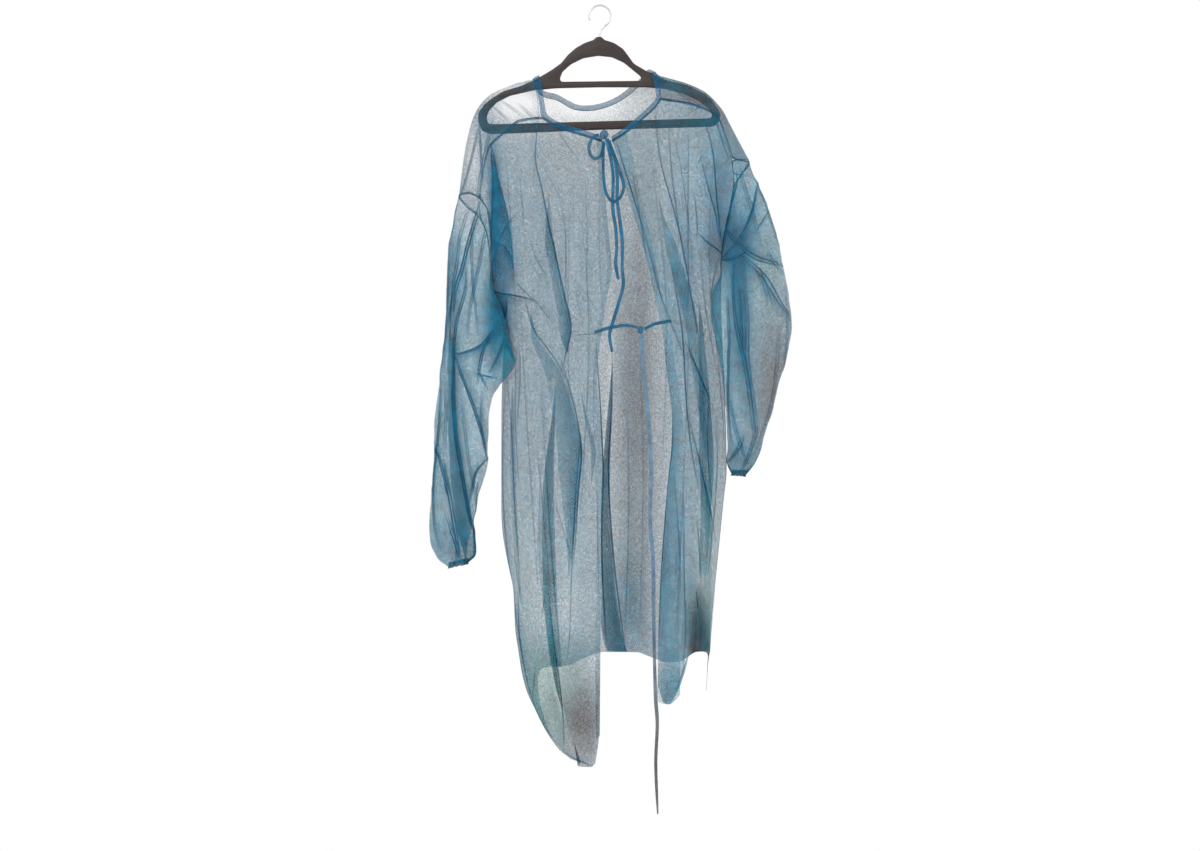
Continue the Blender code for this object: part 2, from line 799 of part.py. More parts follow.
def outline_reader(line, outward):
    """Point and outward direction at a length along an outline, and the length where it reaches an x."""
    step = np.linalg.norm(np.diff(line, axis=0), axis=1)
    length = np.concatenate([[0], np.cumsum(step)])
    along = np.gradient(line, length, axis=0)
    along /= np.linalg.norm(along, axis=1)[:, None]
    normal = outward * np.stack([along[:, 1], -along[:, 0]], axis=1)

    def point(a, lift):
        at = min(max(a, 0.0), length[-1])
        p = np.array([np.interp(at, length, line[:, c]) for c in (0, 1)])
        n = np.array([np.interp(at, length, normal[:, c]) for c in (0, 1)])
        return p + n * lift

    def reach(x):
        xs = line[:, 0]
        if xs[0] > xs[-1]:
            return float(np.interp(-x, -xs, length))
        return float(np.interp(x, xs, length))

    return point, reach, length[-1]


# One lapped fold from its start to its end. Closed: share of the overlap, lifts along, lifts off the outline.
# Half closed, where it only stands up: lifts along, lifts off.
LAP_STEPS = [
    (-1, -3.4, 0, -5, 0),
    (-1, -1.4, 2, -3, 1.3),
    (0, -1, 2, -1.3, 2),
    (0, 0, 2, -0.4, 1.95),
    (0, 0, 1, -0.1, 1.5),
    (0, -1, 1, 0, 1.15),
    (-1, 1, 1, 0, 0.85),
    (-1, 0, 1, 0.1, 0.5),
    (-1, 0, 0, 0.4, 0.08),
    (-1, 1, 0, 1.2, 0),
    (0, 1, 0, 2.2, 0),
]


def lap_controls(at, overlap, closed, turned, lift, room):
    """Control positions of one lapped fold: length along the outline, lift off it."""
    out = []
    for i, (share, along, off, half_along, half_off) in enumerate(LAP_STEPS):
        flat = room * (i / (len(LAP_STEPS) - 1) - 0.66)
        shut = share * overlap + along * lift
        if closed < 0.4:
            t = closed / 0.4
            out.append((flat + (half_along * lift - flat) * t, half_off * lift * t))
        else:
            t = (closed - 0.4) / 0.6
            half = half_along * lift
            out.append((half + (shut - half) * t, (half_off + (off - half_off) * t) * lift))
    if turned < 0:
        out = [(-a, up) for a, up in reversed(out)]
    return [(at + a, up) for a, up in out]


def section_controls(z, outline, outward, laps, between, turn, lift):
    """Control points of a panel's section, the same count at every height."""
    point, reach, total = outline_reader(outline, outward)
    spans, start = [], 0.0
    for (table, turned), count in zip(laps, between):
        x, overlap, closed = columns_at(table, z)
        lap = lap_controls(reach(x), overlap, closed, turned, lift, min(12.0, 0.08 * total))
        spans.append([(a, 0.0) for a in np.linspace(start, lap[0][0], count, endpoint=False)])
        spans.append(lap)
        start = lap[-1][0] + 0.5 * (lap[-1][0] - lap[-2][0])
    spans.append([(a, 0.0) for a in np.linspace(start, total, between[-1])])
    controls = [point(a, up) for span in spans for a, up in span]
    if turn is not None:
        length = float(columns_at(turn, z)[0])
        controls += [point(total - back, -lift) for back in (0.0, 0.5 * lift, 0.5 * length, length)]
    return np.array(controls)


def spline_weights(t):
    """Share of each of four neighbouring control points at t between the middle two."""
    return ((1 - t) ** 3 / 6, (3 * t ** 3 - 6 * t * t + 4) / 6,
            (-3 * t ** 3 + 3 * t * t + 3 * t + 1) / 6, t ** 3 / 6)


def spline_matrix(count, per_span):
    """Weights that turn control points into points of a smooth curve that keeps both ends."""
    rows = []
    for i in range(count - 1):
        steps = per_span if i < count - 2 else per_span + 1
        for k in range(steps):
            t = k / per_span
            row = np.zeros(count)
            for j, weight in zip((i - 1, i, i + 1, i + 2), spline_weights(t)):
                if j < 0:
                    row[0] += 2 * weight
                    row[1] -= weight
                elif j > count - 1:
                    row[count - 1] += 2 * weight
                    row[count - 2] -= weight
                else:
                    row[j] += weight
            rows.append(row)
    return np.array(rows)


# Panels as grids of points, row by row from the top to the hem

def read_levels(levels, stack, z):
    """Section point of each column at its own height, between the levels worked out."""
    f = np.interp(-z, -levels, np.arange(len(levels)))
    i = np.clip(f.astype(int), 0, len(levels) - 2)
    t = (f - i)[:, None]
    c = np.arange(stack.shape[1])
    return stack[i, c] * (1 - t) + stack[i + 1, c] * t


def width_share(section, turned=0):
    """Share of the panel's width at each column; a turned edge runs back from 1."""
    length = np.concatenate([[0], np.cumsum(np.linalg.norm(np.diff(section, axis=0), axis=1))])
    edge = length[len(length) - 1 - turned]
    return 1 - np.abs(1 - length / edge)


def hang(first, hem, levels, stack, rows, ease=0.30):
    """Rows from a given first row down to the hem, easing from it into the sections."""
    z_top, z_hem = first[:, 2], hem
    pull = first[:, :2] - read_levels(levels, stack, z_top)
    out = []
    for r in range(rows):
        v = (r / (rows - 1)) ** 1.35
        z = z_top + (z_hem - z_top) * v
        fade = max(0.0, 1 - v / ease)
        fade = fade * fade * (3 - 2 * fade)
        xy = read_levels(levels, stack, z) + pull * fade
        out.append(np.column_stack([xy, z]))
    return out


def back_panel(edge, opening, outward, flutes, laps, between, turn, top_row, hem, per_span, rows, levels_n=90):
    """Rows of one near panel from its top edge to its hem."""
    z_high, z_low = max(r[0] for r in edge), min(r[1] for r in hem) - 5
    z_high = max(z_high, max(r[3] for r in top_row))
    levels = np.linspace(z_high, z_low, levels_n)
    stack = np.array([section_controls(z, back_outline(z, edge, opening, flutes, z_high, z_low), outward, laps,
                                       between, turn, FOLD_LIFT) for z in levels])
    weights = spline_matrix(stack.shape[1], per_span)
    stack = np.einsum("ij,ljk->lik", weights, stack)
    level = read_levels(levels, stack, np.full(stack.shape[1], REFERENCE_HEIGHT))
    turned = 0 if turn is None else 4 * per_span
    share = width_share(level, turned)
    first = columns_at(top_row, share)
    if turned:
        first[-turned:, 1] += FOLD_LIFT * np.minimum(np.arange(1, turned + 1) / per_span, 1.0)
    return hang(first, columns_at(hem, share)[:, 0], levels, stack, rows)


def front_panel(per_span, rows, levels_n=110):
    """Rows of the front panel from the near seam over the hanger to its hem."""
    z_high, z_low = FAR_TOP[0][3] + 200, min(r[1] for r in FAR_HEM) - 5
    levels = np.linspace(z_high, z_low, levels_n)
    laps = [(LAP_F, 1)]
    stack = np.array([section_controls(z, front_outline(z, z_high, z_low), -1, laps, (23, 17), None, FOLD_LIFT)
                      for z in levels])
    weights = spline_matrix(stack.shape[1], per_span)
    stack = np.einsum("ij,ljk->lik", weights, stack)
    share = width_share(read_levels(levels, stack, np.full(stack.shape[1], REFERENCE_HEIGHT)))
    over = [columns_at(t, share) for t in (NEAR_SEAM, NEAR_SIDE, RIDGE, FAR_SIDE, FAR_TOP)]
    return over[:-1] + hang(over[-1], columns_at(FAR_HEM, share)[:, 0], levels, stack, rows)


# Sleeves as rings

def sleeve_ring(row, angles):
    """One ring of a sleeve: angle 0 is the inside, a quarter turn is the near side."""
    z_out, z_in, x_out, x_in, y_out, y_in, near, far = row
    c, s = np.cos(angles), np.sin(angles)
    side = (1 + c) / 2
    x = x_out + (x_in - x_out) * side
    z = z_out + (z_in - z_out) * side
    depth = np.where(s > 0, near, far) * np.abs(s) ** 0.9
    y = y_out + (y_in - y_out) * side - np.sign(s) * depth
    return np.column_stack([x, y, z])


def closed_spline(points, per_span):
    """Smooth closed curve close through the points."""
    n = len(points)
    points = points + (4 * points - np.roll(points, 1, axis=0) * 2 - np.roll(points, -1, axis=0) * 2) / 12
    out = []
    for i in range(n):
        for k in range(per_span):
            out.append(sum(points[(i + j - 1) % n] * w for j, w in enumerate(spline_weights(k / per_span))))
    return np.array(out)


def ring_with_lap(ring, row, table, lift, columns):
    """A sleeve ring whose near side has one lapped fold, as control points."""
    z_mid = (row[0] + row[1]) / 2
    x, overlap, closed = columns_at(table, z_mid)
    half = len(ring) // 2
    step = np.linalg.norm(np.diff(np.vstack([ring, ring[:1]]), axis=0), axis=1)
    length = np.concatenate([[0], np.cumsum(step)])
    loop = np.vstack([ring, ring[:1]])
    xs = loop[:half + 1, 0]
    flip = -1.0 if xs[0] > xs[-1] else 1.0
    at = float(np.interp(flip * x, flip * xs, length[:half + 1]))
    lap = lap_controls(at, overlap, closed, -1, lift, 12.0)
    before = int(round(columns * 0.38))
    after = columns - before
    places = [(a, 0.0) for a in np.linspace(0, lap[0][0], before, endpoint=False)] + lap
    tail = lap[-1][0] + 0.5 * (lap[-1][0] - lap[-2][0])
    places += [(a, 0.0) for a in np.linspace(tail, length[-1], after, endpoint=False)]
    tangent = np.gradient(loop, length, axis=0)
    flat = np.column_stack([tangent[:, 1], -tangent[:, 0]])
    flat /= np.linalg.norm(flat, axis=1)[:, None]
    out = []
    for a, up in places:
        p = np.array([np.interp(a, length, loop[:, c]) for c in range(3)])
        n = np.array([np.interp(a, length, flat[:, c]) for c in range(2)])
        out.append([p[0] + flip * n[0] * up, p[1] + flip * n[1] * up, p[2]])
    return np.array(out)


def sleeve(table, armhole, lap, columns, per_span):
    """Sleeve rings from the armhole to the cuff, each a closed loop with the same count."""
    fine = np.linspace(0, 2 * math.pi, 120, endpoint=False)
    rings = [columns_at(armhole + [(1.0,) + tuple(armhole[0][1:])], fine / (2 * math.pi))]
    rings += [sleeve_ring(row, fine) for row in table]
    rows = [(armhole[4][3], armhole[0][3])] + [row[:2] for row in table]
    out = []
    for ring, row in zip(rings, rows):
        if lap is None:
            step = np.linalg.norm(np.diff(np.vstack([ring, ring[:1]]), axis=0), axis=1)
            length = np.concatenate([[0], np.cumsum(step)])
            loop = np.vstack([ring, ring[:1]])
            at = np.linspace(0, length[-1], columns, endpoint=False)
            control = np.column_stack([np.interp(at, length, loop[:, c]) for c in range(3)])
        else:
            control = ring_with_lap(ring, row, lap, FOLD_LIFT, columns)
        out.append(closed_spline(control, per_span))
    return out


def push_first(rings, gap):
    """Start a tube a gap further along, so its edge stands clear of the piece it is sewn to."""
    step = rings[1] - rings[0]
    rings[0] = rings[0] + step / np.linalg.norm(step, axis=1)[:, None] * gap
    return rings


def push_edges(rows, top=0.0, bottom=0.0, start=0.0, end=0.0):
    """Draw a panel's edges in by a gap along its own cloth."""
    g = np.array(rows)
    for amount, at, nxt in ((top, 0, 1), (bottom, -1, -2)):
        if amount:
            step = g[nxt] - g[at]
            g[at] += step / np.linalg.norm(step, axis=1)[:, None] * amount
    for amount, at, nxt in ((start, 0, 1), (end, -1, -2)):
        if amount:
            step = g[:, nxt] - g[:, at]
            g[:, at] += step / np.linalg.norm(step, axis=1)[:, None] * amount
    return g


# Meshes

def new_object(name, verts, faces, material, smooth=True):
    mesh = bpy.data.meshes.new(name)
    mesh.from_pydata([tuple(float(c) * 0.001 for c in v) for v in verts], [], faces)
    bm = bmesh.new()
    bm.from_mesh(mesh)
    bmesh.ops.recalc_face_normals(bm, faces=bm.faces)
    bmesh.ops.triangulate(bm, faces=bm.faces)
    bm.to_mesh(mesh)
    bm.free()
    obj = bpy.data.objects.new(name, mesh)
    bpy.context.collection.objects.link(obj)
    obj.data.materials.append(bpy.data.materials[material])
    if smooth:
        for face in mesh.polygons:
            face.use_smooth = True
        mesh.set_sharp_from_angle(angle=math.radians(40))
    return obj


def grid_normals(g, wrap):
    """Direction across the cloth at each point, evened out between the rows."""
    if wrap:
        across = np.roll(g, -1, axis=1) - np.roll(g, 1, axis=1)
    else:
        across = np.gradient(g, axis=1)
    down = np.gradient(g, axis=0)
    n = np.cross(across, down)
    n /= np.linalg.norm(n, axis=2)[:, :, None] + 1e-12
    n = n + 0.5 * (np.concatenate([n[:1], n[:-1]]) + np.concatenate([n[1:], n[-1:]]))
    return n / (np.linalg.norm(n, axis=2)[:, :, None] + 1e-12)


def cloth(name, rows, material, thick=WALL, wrap=False):
    """Closed wall around a grid of points; wrap joins the last column to the first."""
    g = np.array(rows, float)
    r, c, _ = g.shape
    n = grid_normals(g, wrap)
    verts = np.concatenate([(g + n * thick / 2).reshape(-1, 3), (g - n * thick / 2).reshape(-1, 3)])
    back = r * c
    faces = []
    last = c if wrap else c - 1
    for i in range(r - 1):
        for j in range(last):
            a, b = i * c + j, i * c + (j + 1) % c
            d, e = (i + 1) * c + j, (i + 1) * c + (j + 1) % c
            faces.append((a, b, e, d))
            faces.append((back + a, back + d, back + e, back + b))
    for j in range(last):
        for i in (0, r - 1):
            a, b = i * c + j, i * c + (j + 1) % c
            faces.append((a, b, back + b, back + a) if i else (b, a, back + a, back + b))
    if not wrap:
        for i in range(r - 1):
            for j in (0, c - 1):
                a, d = i * c + j, (i + 1) * c + j
                faces.append((a, d, back + d, back + a) if not j else (d, a, back + a, back + d))
    return new_object(name, verts, faces, material)


def smooth_path(points, count):
    p = np.array(points, float)
    length = np.concatenate([[0], np.cumsum(np.linalg.norm(np.diff(p, axis=0), axis=1))])
    at = np.linspace(0, length[-1], count)
    out = []
    for a in at:
        i = min(int(np.searchsorted(length, a, side="right")) - 1, len(p) - 2)
        i = max(i, 0)
        t = (a - length[i]) / (length[i + 1] - length[i])
        p0, p1 = p[max(i - 1, 0)], p[i]
        p2, p3 = p[i + 1], p[min(i + 2, len(p) - 1)]
        out.append(0.5 * (2 * p1 + (p2 - p0) * t + (2 * p0 - 5 * p1 + 4 * p2 - p3) * t * t
                          + (3 * p1 - p0 - 3 * p2 + p3) * t ** 3))
    return np.array(out)


def strip(name, points, wide, thick, material, count, tip=1.0, face=(0, -1, 0)):
    """Flat folded tie along a path, its broad side turned to `face`."""
    path = smooth_path(points, count)
    along = np.gradient(path, axis=0)
    along /= np.linalg.norm(along, axis=1)[:, None]
    out = np.array(face, float) - along * (along @ np.array(face, float))[:, None]
    out /= np.linalg.norm(out, axis=1)[:, None]
    across = np.cross(along, out)
    share = np.linspace(0, 1, count)
    half = wide / 2 * np.where(share > 0.93, 1 + (tip - 1) * (share - 0.93) / 0.07, 1.0)
    corners = ((-1.0, 0.0), (-0.75, -0.5), (0.75, -0.5), (1.0, 0.0), (0.75, 0.5), (-0.75, 0.5))
    verts, faces, k = [], [], len(corners)
    for i in range(count):
        for a, b in corners:
            verts.append(path[i] + across[i] * half[i] * a + out[i] * thick * b)
    for i in range(count - 1):
        for j in range(k):
            a, b = i * k + j, i * k + (j + 1) % k
            faces.append((a, b, b + k, a + k))
    faces.append(tuple(range(k)))
    faces.append(tuple(range((count - 1) * k, count * k)))
    return new_object(name, verts, faces, material)


def tube(name, points, radius, material, sides=14):
    p = np.array(points, float)
    along = np.gradient(p, axis=0)
    along /= np.linalg.norm(along, axis=1)[:, None]
    side = np.array([0.0, 1.0, 0.0])
    verts, faces = [], []
    for i, q in enumerate(p):
        u = np.cross(along[i], side)
        u /= np.linalg.norm(u)
        v = np.cross(along[i], u)
        for j in range(sides):
            a = 2 * math.pi * j / sides
            verts.append(q + (u * math.cos(a) + v * math.sin(a)) * radius)
    for i in range(len(p) - 1):
        for j in range(sides):
            a, b = i * sides + j, i * sides + (j + 1) % sides
            faces.append((a, b, b + sides, a + sides))
    faces.append(tuple(range(sides)))
    faces.append(tuple(range((len(p) - 1) * sides, len(p) * sides)))
    return new_object(name, verts, faces, material)


def knot(name, centre, half, material, rings=8, sides=12):
    """Small tied lump, an uneven ball."""
    verts, faces = [], []
    for i in range(1, rings):
        polar = math.pi * i / rings
        for j in range(sides):
            turn = 2 * math.pi * j / sides
            bump = 1 + 0.10 * math.sin(3 * turn + polar * 2)
            verts.append((centre[0] + half[0] * math.sin(polar) * math.cos(turn) * bump,
                          centre[1] + half[1] * math.sin(polar) * math.sin(turn) * bump,
                          centre[2] + half[2] * math.cos(polar)))
    top, low = len(verts), len(verts) + 1
    verts += [(centre[0], centre[1], centre[2] + half[2]), (centre[0], centre[1], centre[2] - half[2])]
    for i in range(rings - 2):
        for j in range(sides):
            a, b = i * sides + j, i * sides + (j + 1) % sides
            faces.append((a, b, b + sides, a + sides))
    for j in range(sides):
        faces.append((top, (j + 1) % sides, j))
        faces.append((low, (rings - 2) * sides + j, (rings - 2) * sides + (j + 1) % sides))
    return new_object(name, verts, faces, material)


def plate(name, outline, holes, thick, edge, material):
    """Flat plate with openings, its long edges eased by a small chamfer."""
    loops = [outline] + holes
    verts, faces, sizes = [], [], [len(p) for p in loops]

    def inset(loop, amount):
        p = np.array(loop, float)
        to_next, from_last = np.roll(p, -1, axis=0) - p, p - np.roll(p, 1, axis=0)
        na = np.stack([to_next[:, 1], -to_next[:, 0]], 1) / np.linalg.norm(to_next, axis=1)[:, None]
        nb = np.stack([from_last[:, 1], -from_last[:, 0]], 1) / np.linalg.norm(from_last, axis=1)[:, None]
        m = na + nb
        m /= np.linalg.norm(m, axis=1)[:, None]
        area = 0.5 * np.sum(p[:, 0] * np.roll(p[:, 1], -1) - np.roll(p[:, 0], -1) * p[:, 1])
        return p - m * amount * (1 if area > 0 else -1)

    layers = ((thick / 2, edge), (thick / 2 - edge, 0.0), (-thick / 2 + edge, 0.0), (-thick / 2, edge))
    for y, amount in layers:
        for k, loop in enumerate(loops):
            for x, z in inset(loop, amount if k == 0 else -amount):
                verts.append((x, y, z))
    per = sum(sizes)
    flat = [[(v[0], v[2], 0.0) for v in verts[sum(sizes[:k]):sum(sizes[:k + 1])]] for k in range(len(loops))]
    for tri in tessellate_polygon(flat):
        faces.append(tuple(tri))
        faces.append(tuple(3 * per + t for t in reversed(tri)))
    for layer in range(3):
        start = 0
        for size in sizes:
            for j in range(size):
                a, b = layer * per + start + j, layer * per + start + (j + 1) % size
                faces.append((a, b, b + per, a + per))
            start += size
    return new_object(name, verts, faces, material)


def rounded(loop, count):
    """Closed loop through the table's points, evenly spaced and slightly smoothed."""
    p = np.array(list(loop) + [loop[0]], float)
    length = np.concatenate([[0], np.cumsum(np.linalg.norm(np.diff(p, axis=0), axis=1))])
    at = np.linspace(0, length[-1], count, endpoint=False)
    q = np.column_stack([np.interp(at, length, p[:, c]) for c in range(2)])
    return 0.25 * np.roll(q, 1, axis=0) + 0.5 * q + 0.25 * np.roll(q, -1, axis=0)


def build():
    for obj in list(bpy.data.objects):
        bpy.data.objects.remove(obj, do_unlink=True)
    for name, (colour, rough, metal) in MATERIALS.items():
        mat = bpy.data.materials.new(name)
        mat.use_nodes = True
        bsdf = mat.node_tree.nodes["Principled BSDF"]
        bsdf.inputs["Base Color"].default_value = colour
        bsdf.inputs["Roughness"].default_value = rough
        bsdf.inputs["Metallic"].default_value = metal

    left = back_panel(LEFT_NEAR_EDGE, LEFT_OPENING, 1, LEFT_FLUTES, [(LAP_B, 1)],
                      (10, 8), None, LEFT_TOP, LEFT_HEM, 1, ROWS_BACK)
    right = back_panel(RIGHT_NEAR_EDGE, RIGHT_OPENING, -1, RIGHT_FLUTES, [(LAP_E, 1)],
                       (5, 8), TURN_R, RIGHT_TOP, RIGHT_HEM, 1, ROWS_BACK)
    front = front_panel(1, ROWS_FRONT)
    left = push_edges(left, top=SEAM_GAP, start=SEAM_GAP)
    right = push_edges(right, top=SEAM_GAP, start=SEAM_GAP)
    front = push_edges(front, top=SEAM_GAP, start=SEAM_GAP, end=SEAM_GAP)
    cloth("back_panel_left", left, "gown_fabric")
    cloth("back_panel_right", right, "gown_fabric")
    cloth("front_panel", front, "gown_fabric")

    for side, table, armhole, lap in (("left", LEFT_SLEEVE, LEFT_ARMHOLE, LAP_S),
                                      ("right", RIGHT_SLEEVE, RIGHT_ARMHOLE, None)):
        rings = push_first(sleeve(table, armhole, lap, SLEEVE_COLUMNS, 1), SEAM_GAP)
        cloth("sleeve_" + side, rings, "gown_fabric", wrap=True)
        last, before = rings[-1], rings[-2]
        step = last - before
        step = step.mean(axis=0) / np.linalg.norm(step.mean(axis=0))
        mid = last.mean(axis=0)
        cuff = [last + step * d + (last - mid) * w for d, w in ((1.0, -0.02), (1.0 + CUFF_TALL / 2, -0.07),
                                                                (1.0 + CUFF_TALL, -0.05))]
        cloth("cuff_" + side, cuff, "cuff_elastic", thick=1.6, wrap=True)

    line = np.array(NECK_LINE)
    low, high = smooth_path(line[:, :3], 64), smooth_path(line[:, 3:], 64)
    rise = (high - low) / np.linalg.norm(high - low, axis=1)[:, None]
    cloth("neck_binding", [low + rise * 2.5 * SEAM_GAP, (low + high) / 2, high], "gown_fabric",
          thick=BINDING_WALL)

    plate("hanger_frame", rounded(HANGER_OUT, 76), [rounded(HANGER_EYE, 22), rounded(HANGER_MOUTH, 52)],
          HANGER_THICK, 1.6, "hanger_plastic")
    r = HOOK_INSIDE + HOOK_WIRE / 2
    turn = [math.radians(a) for a in range(-50, 206, 15)]
    ring = [(r * math.cos(a), 0, -HOOK_INSIDE + r * math.sin(a)) for a in turn]
    shank = [(0, 0, HANGER_OUT[0][1] - 2.7), (0, 0, -50), (3, 0, -42.5), (8.5, 0, -36.5)]
    tube("hanger_hook", shank + ring, HOOK_WIRE / 2, "hook_metal")

    knot("neck_tie_knot", KNOT_C[0], (8.5, 4.5, 9.5), "tie_fabric")
    strip("neck_tie_loop_small", LOOP_SMALL, TIE_WIDE, TIE_THICK, "tie_fabric", 18)
    strip("neck_tie_loop_long", LOOP_LONG, TIE_WIDE, TIE_THICK, "tie_fabric", 24)
    strip("neck_tie_tail_a", TAIL_A, TIE_WIDE, TIE_THICK, "tie_fabric", 16)
    strip("neck_tie_tail_b", TAIL_B, TIE_WIDE, TIE_THICK, "tie_fabric", 22)
    knot("waist_tie_knot", WAIST_C[0], (6.0, 4.0, 7.5), "tie_fabric")
    strip("waist_tie_left", WAIST_L, TIE_WIDE, TIE_THICK, "tie_fabric", 10)
    strip("waist_tie_right", WAIST_R, TIE_WIDE, TIE_THICK, "tie_fabric", 8)
    strip("waist_tie_tail", WAIST_T, TAIL_WIDE, TIE_THICK, "tie_fabric", 26, tip=0.5)


build()
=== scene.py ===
# Disposable isolation gown on a clothes hanger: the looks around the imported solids. Camera side (-Y) is the
# gown's open back. Tables are in millimetres, as in the part's own source, and meshes in metres.
import math

import bmesh
import bpy
import numpy as np
from mathutils.geometry import tessellate_polygon
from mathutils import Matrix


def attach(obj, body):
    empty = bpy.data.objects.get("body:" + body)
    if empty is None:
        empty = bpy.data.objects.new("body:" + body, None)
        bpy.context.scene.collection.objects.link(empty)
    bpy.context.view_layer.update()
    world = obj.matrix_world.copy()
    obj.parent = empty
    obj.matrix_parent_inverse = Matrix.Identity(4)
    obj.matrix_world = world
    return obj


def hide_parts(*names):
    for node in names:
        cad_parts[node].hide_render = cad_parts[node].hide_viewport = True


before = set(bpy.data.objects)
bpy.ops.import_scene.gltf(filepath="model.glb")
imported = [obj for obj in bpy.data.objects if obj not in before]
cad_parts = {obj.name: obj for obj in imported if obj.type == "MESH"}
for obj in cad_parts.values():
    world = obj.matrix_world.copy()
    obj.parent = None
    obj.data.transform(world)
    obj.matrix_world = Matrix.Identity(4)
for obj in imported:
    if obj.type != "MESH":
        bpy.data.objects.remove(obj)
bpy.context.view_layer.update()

# Sizes of cloth, ties and hanger in millimetres
SHELL = 0.5
SEAM_WIDE = 3.0
SIDE_GAP = 0.1
FOLD_LIFT = 3.6
CUFF_TALL = 11.0
TIE_WIDE = 6.0
TIE_THICK = 1.7
TAIL_WIDE = 6.5
HANGER_THICK = 11.0

# How finely shapes are worked out
ROWS_BACK = 250
ROWS_FRONT = 210
ROWS_SLEEVE = 170
OVER_ROWS = 7
LEVELS = 130
NEAR_POINTS = 90
FAR_POINTS = 150
RING_POINTS = 120
NECK_POINTS = 360

# Height where a column's share of its panel is read, and share of the panel's height that its top shapes
REFERENCE_HEIGHT = -330.0
EASED = 0.30

# Lapped folds: the most room an open one takes, share of it before the fold's edge, closing at half way
LAP_ROOM = 12.0
LAP_START = 0.66
HALF_CLOSED = 0.4

# Looks: distance that stands for no seam and for no crease, and how dense each layer of cloth is
NO_SEAM = 40.0
NO_GAP = 30.0
LINE_STRENGTH = 1.25
COVER_NEAR = 0.17
COVER_FAR = 0.36
COVER_SLEEVE = 0.26

# Gathers round a cuff, and a cell of noise so long that it doesn't change along it
PUFFS = 15
ENDLESS = 1e9

# Section of a tie: share of its half width, share of its thickness
STRIP_CORNERS = ((-1.0, 0.0), (-0.85, -0.5), (-0.2, -0.46), (0, -0.28), (0.2, -0.5), (0.85, -0.44), (1.0, 0.0),
                 (0.85, 0.5), (0.0, 0.38), (-0.85, 0.5))

# Rings of a stitch: share of its length, share of its thickness
STITCH_RINGS = ((0, 0.45), (0.25, 1.0), (0.75, 1.0), (1, 0.45))

# Rounded edge of the hanger: share of its half thickness, inset
HANGER_LAYERS = ((1.0, 3.2), (0.93, 1.5), (0.75, 0.5), (0.4, 0.0), (-0.4, 0.0), (-0.75, 0.5), (-0.93, 1.5),
                 (-1.0, 3.2))

# Floor and camera, in millimetres
FLOOR_HEIGHT = -1640.0
CAMERA_HEIGHT = -771.0
CAMERA_AWAY = 5000.0
VIEW_WIDTH = 2207.0
SENSOR_WIDTH = 36.0

# Edges of the panels: height, x, y
LEFT_NEAR_EDGE = [
    (-357.8, -218.8, -30), (-376.2, -204.1, -32), (-396.5, -199.5, -30), (-457.1, -198.6, -17),
    (-521.5, -198.6, -0.9), (-558.3, -183.9, -0.9), (-613.5, -176.5, -0.9), (-672.3, -179.3, -0.9),
    (-779, -181.1, -0.9), (-926.1, -181.1, -0.9), (-962.9, -179.3, -0.9), (-999.6, -173.8, -0.9),
    (-1036.4, -166.4, -0.9), (-1073.2, -159.1, -0.9), (-1146.8, -155.4, -0.9), (-1183.5, -149.9, -0.9),
    (-1220.3, -144.4, -0.9), (-1257.1, -135.2, -0.9), (-1293.9, -118.6, -0.9), (-1330.7, -100.2, -0.9),
    (-1367.4, -74.5, -0.9), (-1395, -51.5, -0.9),
]
RIGHT_NEAR_EDGE = [
    (-284.3, 240.9, -30), (-319.2, 244.6, -32), (-365.2, 241.8, -28), (-420.4, 232.6, -16),
    (-470, 224.4, -0.9), (-539.9, 222.5, -0.9), (-723.8, 229.9, -0.9), (-852.5, 232.6, -0.9),
    (-907.7, 227.1, -0.9), (-962.9, 221.6, -0.9), (-1036.4, 214.2, -0.9), (-1110, 206.9, -0.9),
    (-1183.5, 199.5, -0.9), (-1275.5, 194.9, -0.9),
]
LEFT_FAR_EDGE = [
    (-385.4, -220.7, 32), (-420.4, -206, 30), (-470, -200.5, 18),
] + [(z, x, -y) for z, x, y in LEFT_NEAR_EDGE[4:]]
RIGHT_FAR_EDGE = [
    (-326.6, 248.3, 32), (-367, 241.8, 28), (-422.2, 232.6, 17),
] + [(z, x, -y) for z, x, y in RIGHT_NEAR_EDGE[4:]]

# Free edges of the back opening: height, x, y
LEFT_OPENING = [
    (-245.7, 5.5, -31), (-356, 12.9, -36), (-484.7, 22.1, -42), (-539.9, 12, -43), (-595.1, 3.7, -44),
    (-650.2, -3.7, -45), (-687, -5.5, -46), (-760.6, 0, -48), (-852.5, 5.5, -50), (-1018, 2.8, -53),
    (-1211.1, 0, -56), (-1395, -1.8, -58),
]
RIGHT_OPENING = [
    (-245.7, 20.2, -31), (-282.4, 33.1, -33), (-346.8, 49.7, -36), (-402, 66.2, -39), (-466.3, 84.6, -42),
    (-539.9, 101.1, -45), (-595.1, 114, -46), (-650.2, 120.5, -47), (-705.4, 126.9, -48),
    (-760.6, 132.4, -49), (-797.4, 131.5, -50), (-870.9, 125.1, -52), (-944.5, 118.6, -53),
    (-1018, 113.1, -54), (-1128.4, 107.6, -56), (-1275.5, 104.8, -58),
]

# Depth of the front panel behind the hanger: height, y
FAR_DEPTH = [
    (-172.1, 26), (-356, 42), (-539.9, 50), (-723.8, 56), (-907.7, 62), (-1201.9, 70), (-1395, 66),
]

